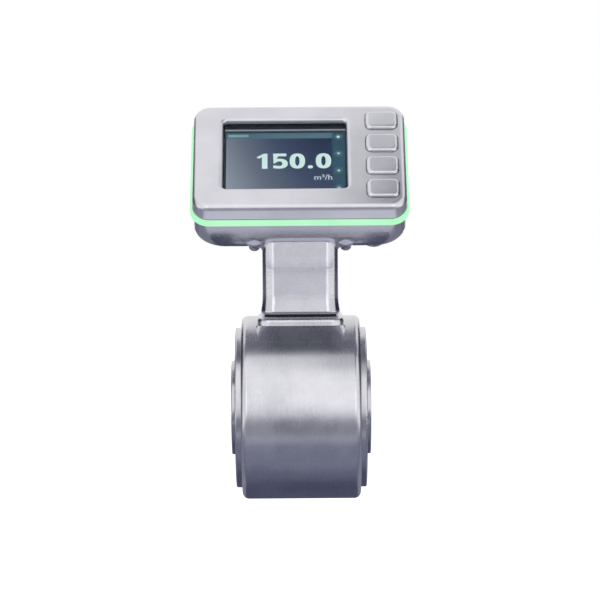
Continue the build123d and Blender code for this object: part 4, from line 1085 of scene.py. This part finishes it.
    def card(self, name: str, corners: list[tuple[float, float, float]], shade: str) -> None:
        """Hang an evenly lit card that only reflections see.

        Args:
            name: The card's name.
            corners: Its four corners in order.
            shade: Its tone, the same on both sides.
        """
        bm = bmesh.new()
        bm.faces.new([bm.verts.new(corner) for corner in corners])
        mesh = bpy.data.meshes.new(name)
        bm.to_mesh(mesh)
        bm.free()
        piece = link_mesh(name, mesh)
        material = bpy.data.materials.new(name)
        material.use_nodes = True
        tree = material.node_tree
        tree.nodes.clear()
        glow = add_node(tree, "ShaderNodeEmission", {"Color": linear(shade)})
        add_node(tree, "ShaderNodeOutputMaterial", {}, {"Surface": glow.outputs[0]})
        mesh.materials.append(material)
        piece.visible_camera = False
        piece.visible_diffuse = False
        piece.visible_shadow = False
        piece.visible_transmission = False

    def flat_card(
        self, name: str, x: tuple[float, float], y: tuple[float, float], z: float, shade: str
    ) -> None:
        """Hang a level card.

        Args:
            name: The card's name.
            x: Its left and right edges.
            y: Its near and far edges.
            z: Its height.
            shade: Its tone.
        """
        (left, right), (near, far) = x, y
        corners = [(left, near, z), (right, near, z), (right, far, z), (left, far, z)]
        self.card(name, corners, shade)

    def cards(self) -> None:
        """Hang cards round the meter, which give steel its dark and bright bands."""
        self.cards_below()
        self.cards_between()
        self.flat_card("card_above_right", (0.03, 0.16), (-0.25, -0.004), self.above_height, "82848F")
        self.side_cards()
        y, low, high, half = -1.9, -0.40, 0.12, 0.9
        corners = [(half, y, low), (-half, y, low), (-half, y, high), (half, y, high)]
        self.card("card_camera_side", corners, "EAEAF0")

    def cards_below(self) -> None:
        """Lay the row of cards below the meter, from the front to the back."""
        reach, half = self.card_reach, self.behind_half_width
        for name, near, far, shade in (
            ("card_front_far", -0.90, -0.40, "7C7E8C"),
            ("card_front", -0.40, -0.20, "84868F"),
            ("card_front_line", -0.20, -0.165, "C8CAD8"),
            ("card_front_near", -0.165, -0.14, "8E909E"),
            ("card_near", -0.14, -0.05, "83859A"),
            ("card_under", -0.05, -0.02, "6D6F84"),
        ):
            self.flat_card(name, (-reach, reach), (near, far), self.card_height, shade)
        for name, left, right, shade in (
            ("card_behind", -half, half, "55586E"),
            ("card_behind_left", -reach, -half, "8E909E"),
            ("card_behind_right", half, reach, "8E909E"),
        ):
            self.flat_card(name, (left, right), self.behind_near_far, self.card_height, shade)

    def cards_between(self) -> None:
        """Hang the small cards in front of the neck: bright above, darker on the underside."""
        wide, half, gap = self.behind_half_width, self.between_half_width, self.underside_gap
        for name, left, right, shade, under in (
            ("card_between", -half, half, "D0D1DE", "50525E"),
            ("card_between_left", -wide, -half, "D6D7E4", "6E707C"),
            ("card_between_right", half, wide, "D6D7E4", "6E707C"),
        ):
            for part, drop, tone in (("top", 0.0, shade), ("underside", gap, under)):
                height = self.between_height - drop
                self.flat_card(f"{name}_{part}", (left, right), self.between_near_far, height, tone)

    def side_cards(self) -> None:
        """Stand two cards on each side, the upper one darker."""
        (near, far), split = self.side_card_near_far, self.side_card_split
        for side, x in (("left", -self.side_card_x), ("right", self.side_card_x)):
            for part, foot, top, shade in (
                ("low", self.card_height, split, "7C7E8C"), ("high", split, self.side_card_top, "2A2C3E"),
            ):
                corners = [(x, near, foot), (x, far, foot), (x, far, top), (x, near, top)]
                self.card(f"card_{side}_{part}", corners, shade)


def main() -> None:
    """Build the looks of the flow meter in order."""
    logging.basicConfig(level=logging.INFO, format="%(name)s: %(message)s")
    Studio().build()
    finishes = Finishes()
    SensorBody().build(finishes)
    DisplayHead().build(finishes)
    DisplayPicture().build(finishes)
    RearFittings().build(finishes)


if __name__ == "__main__":
    main()
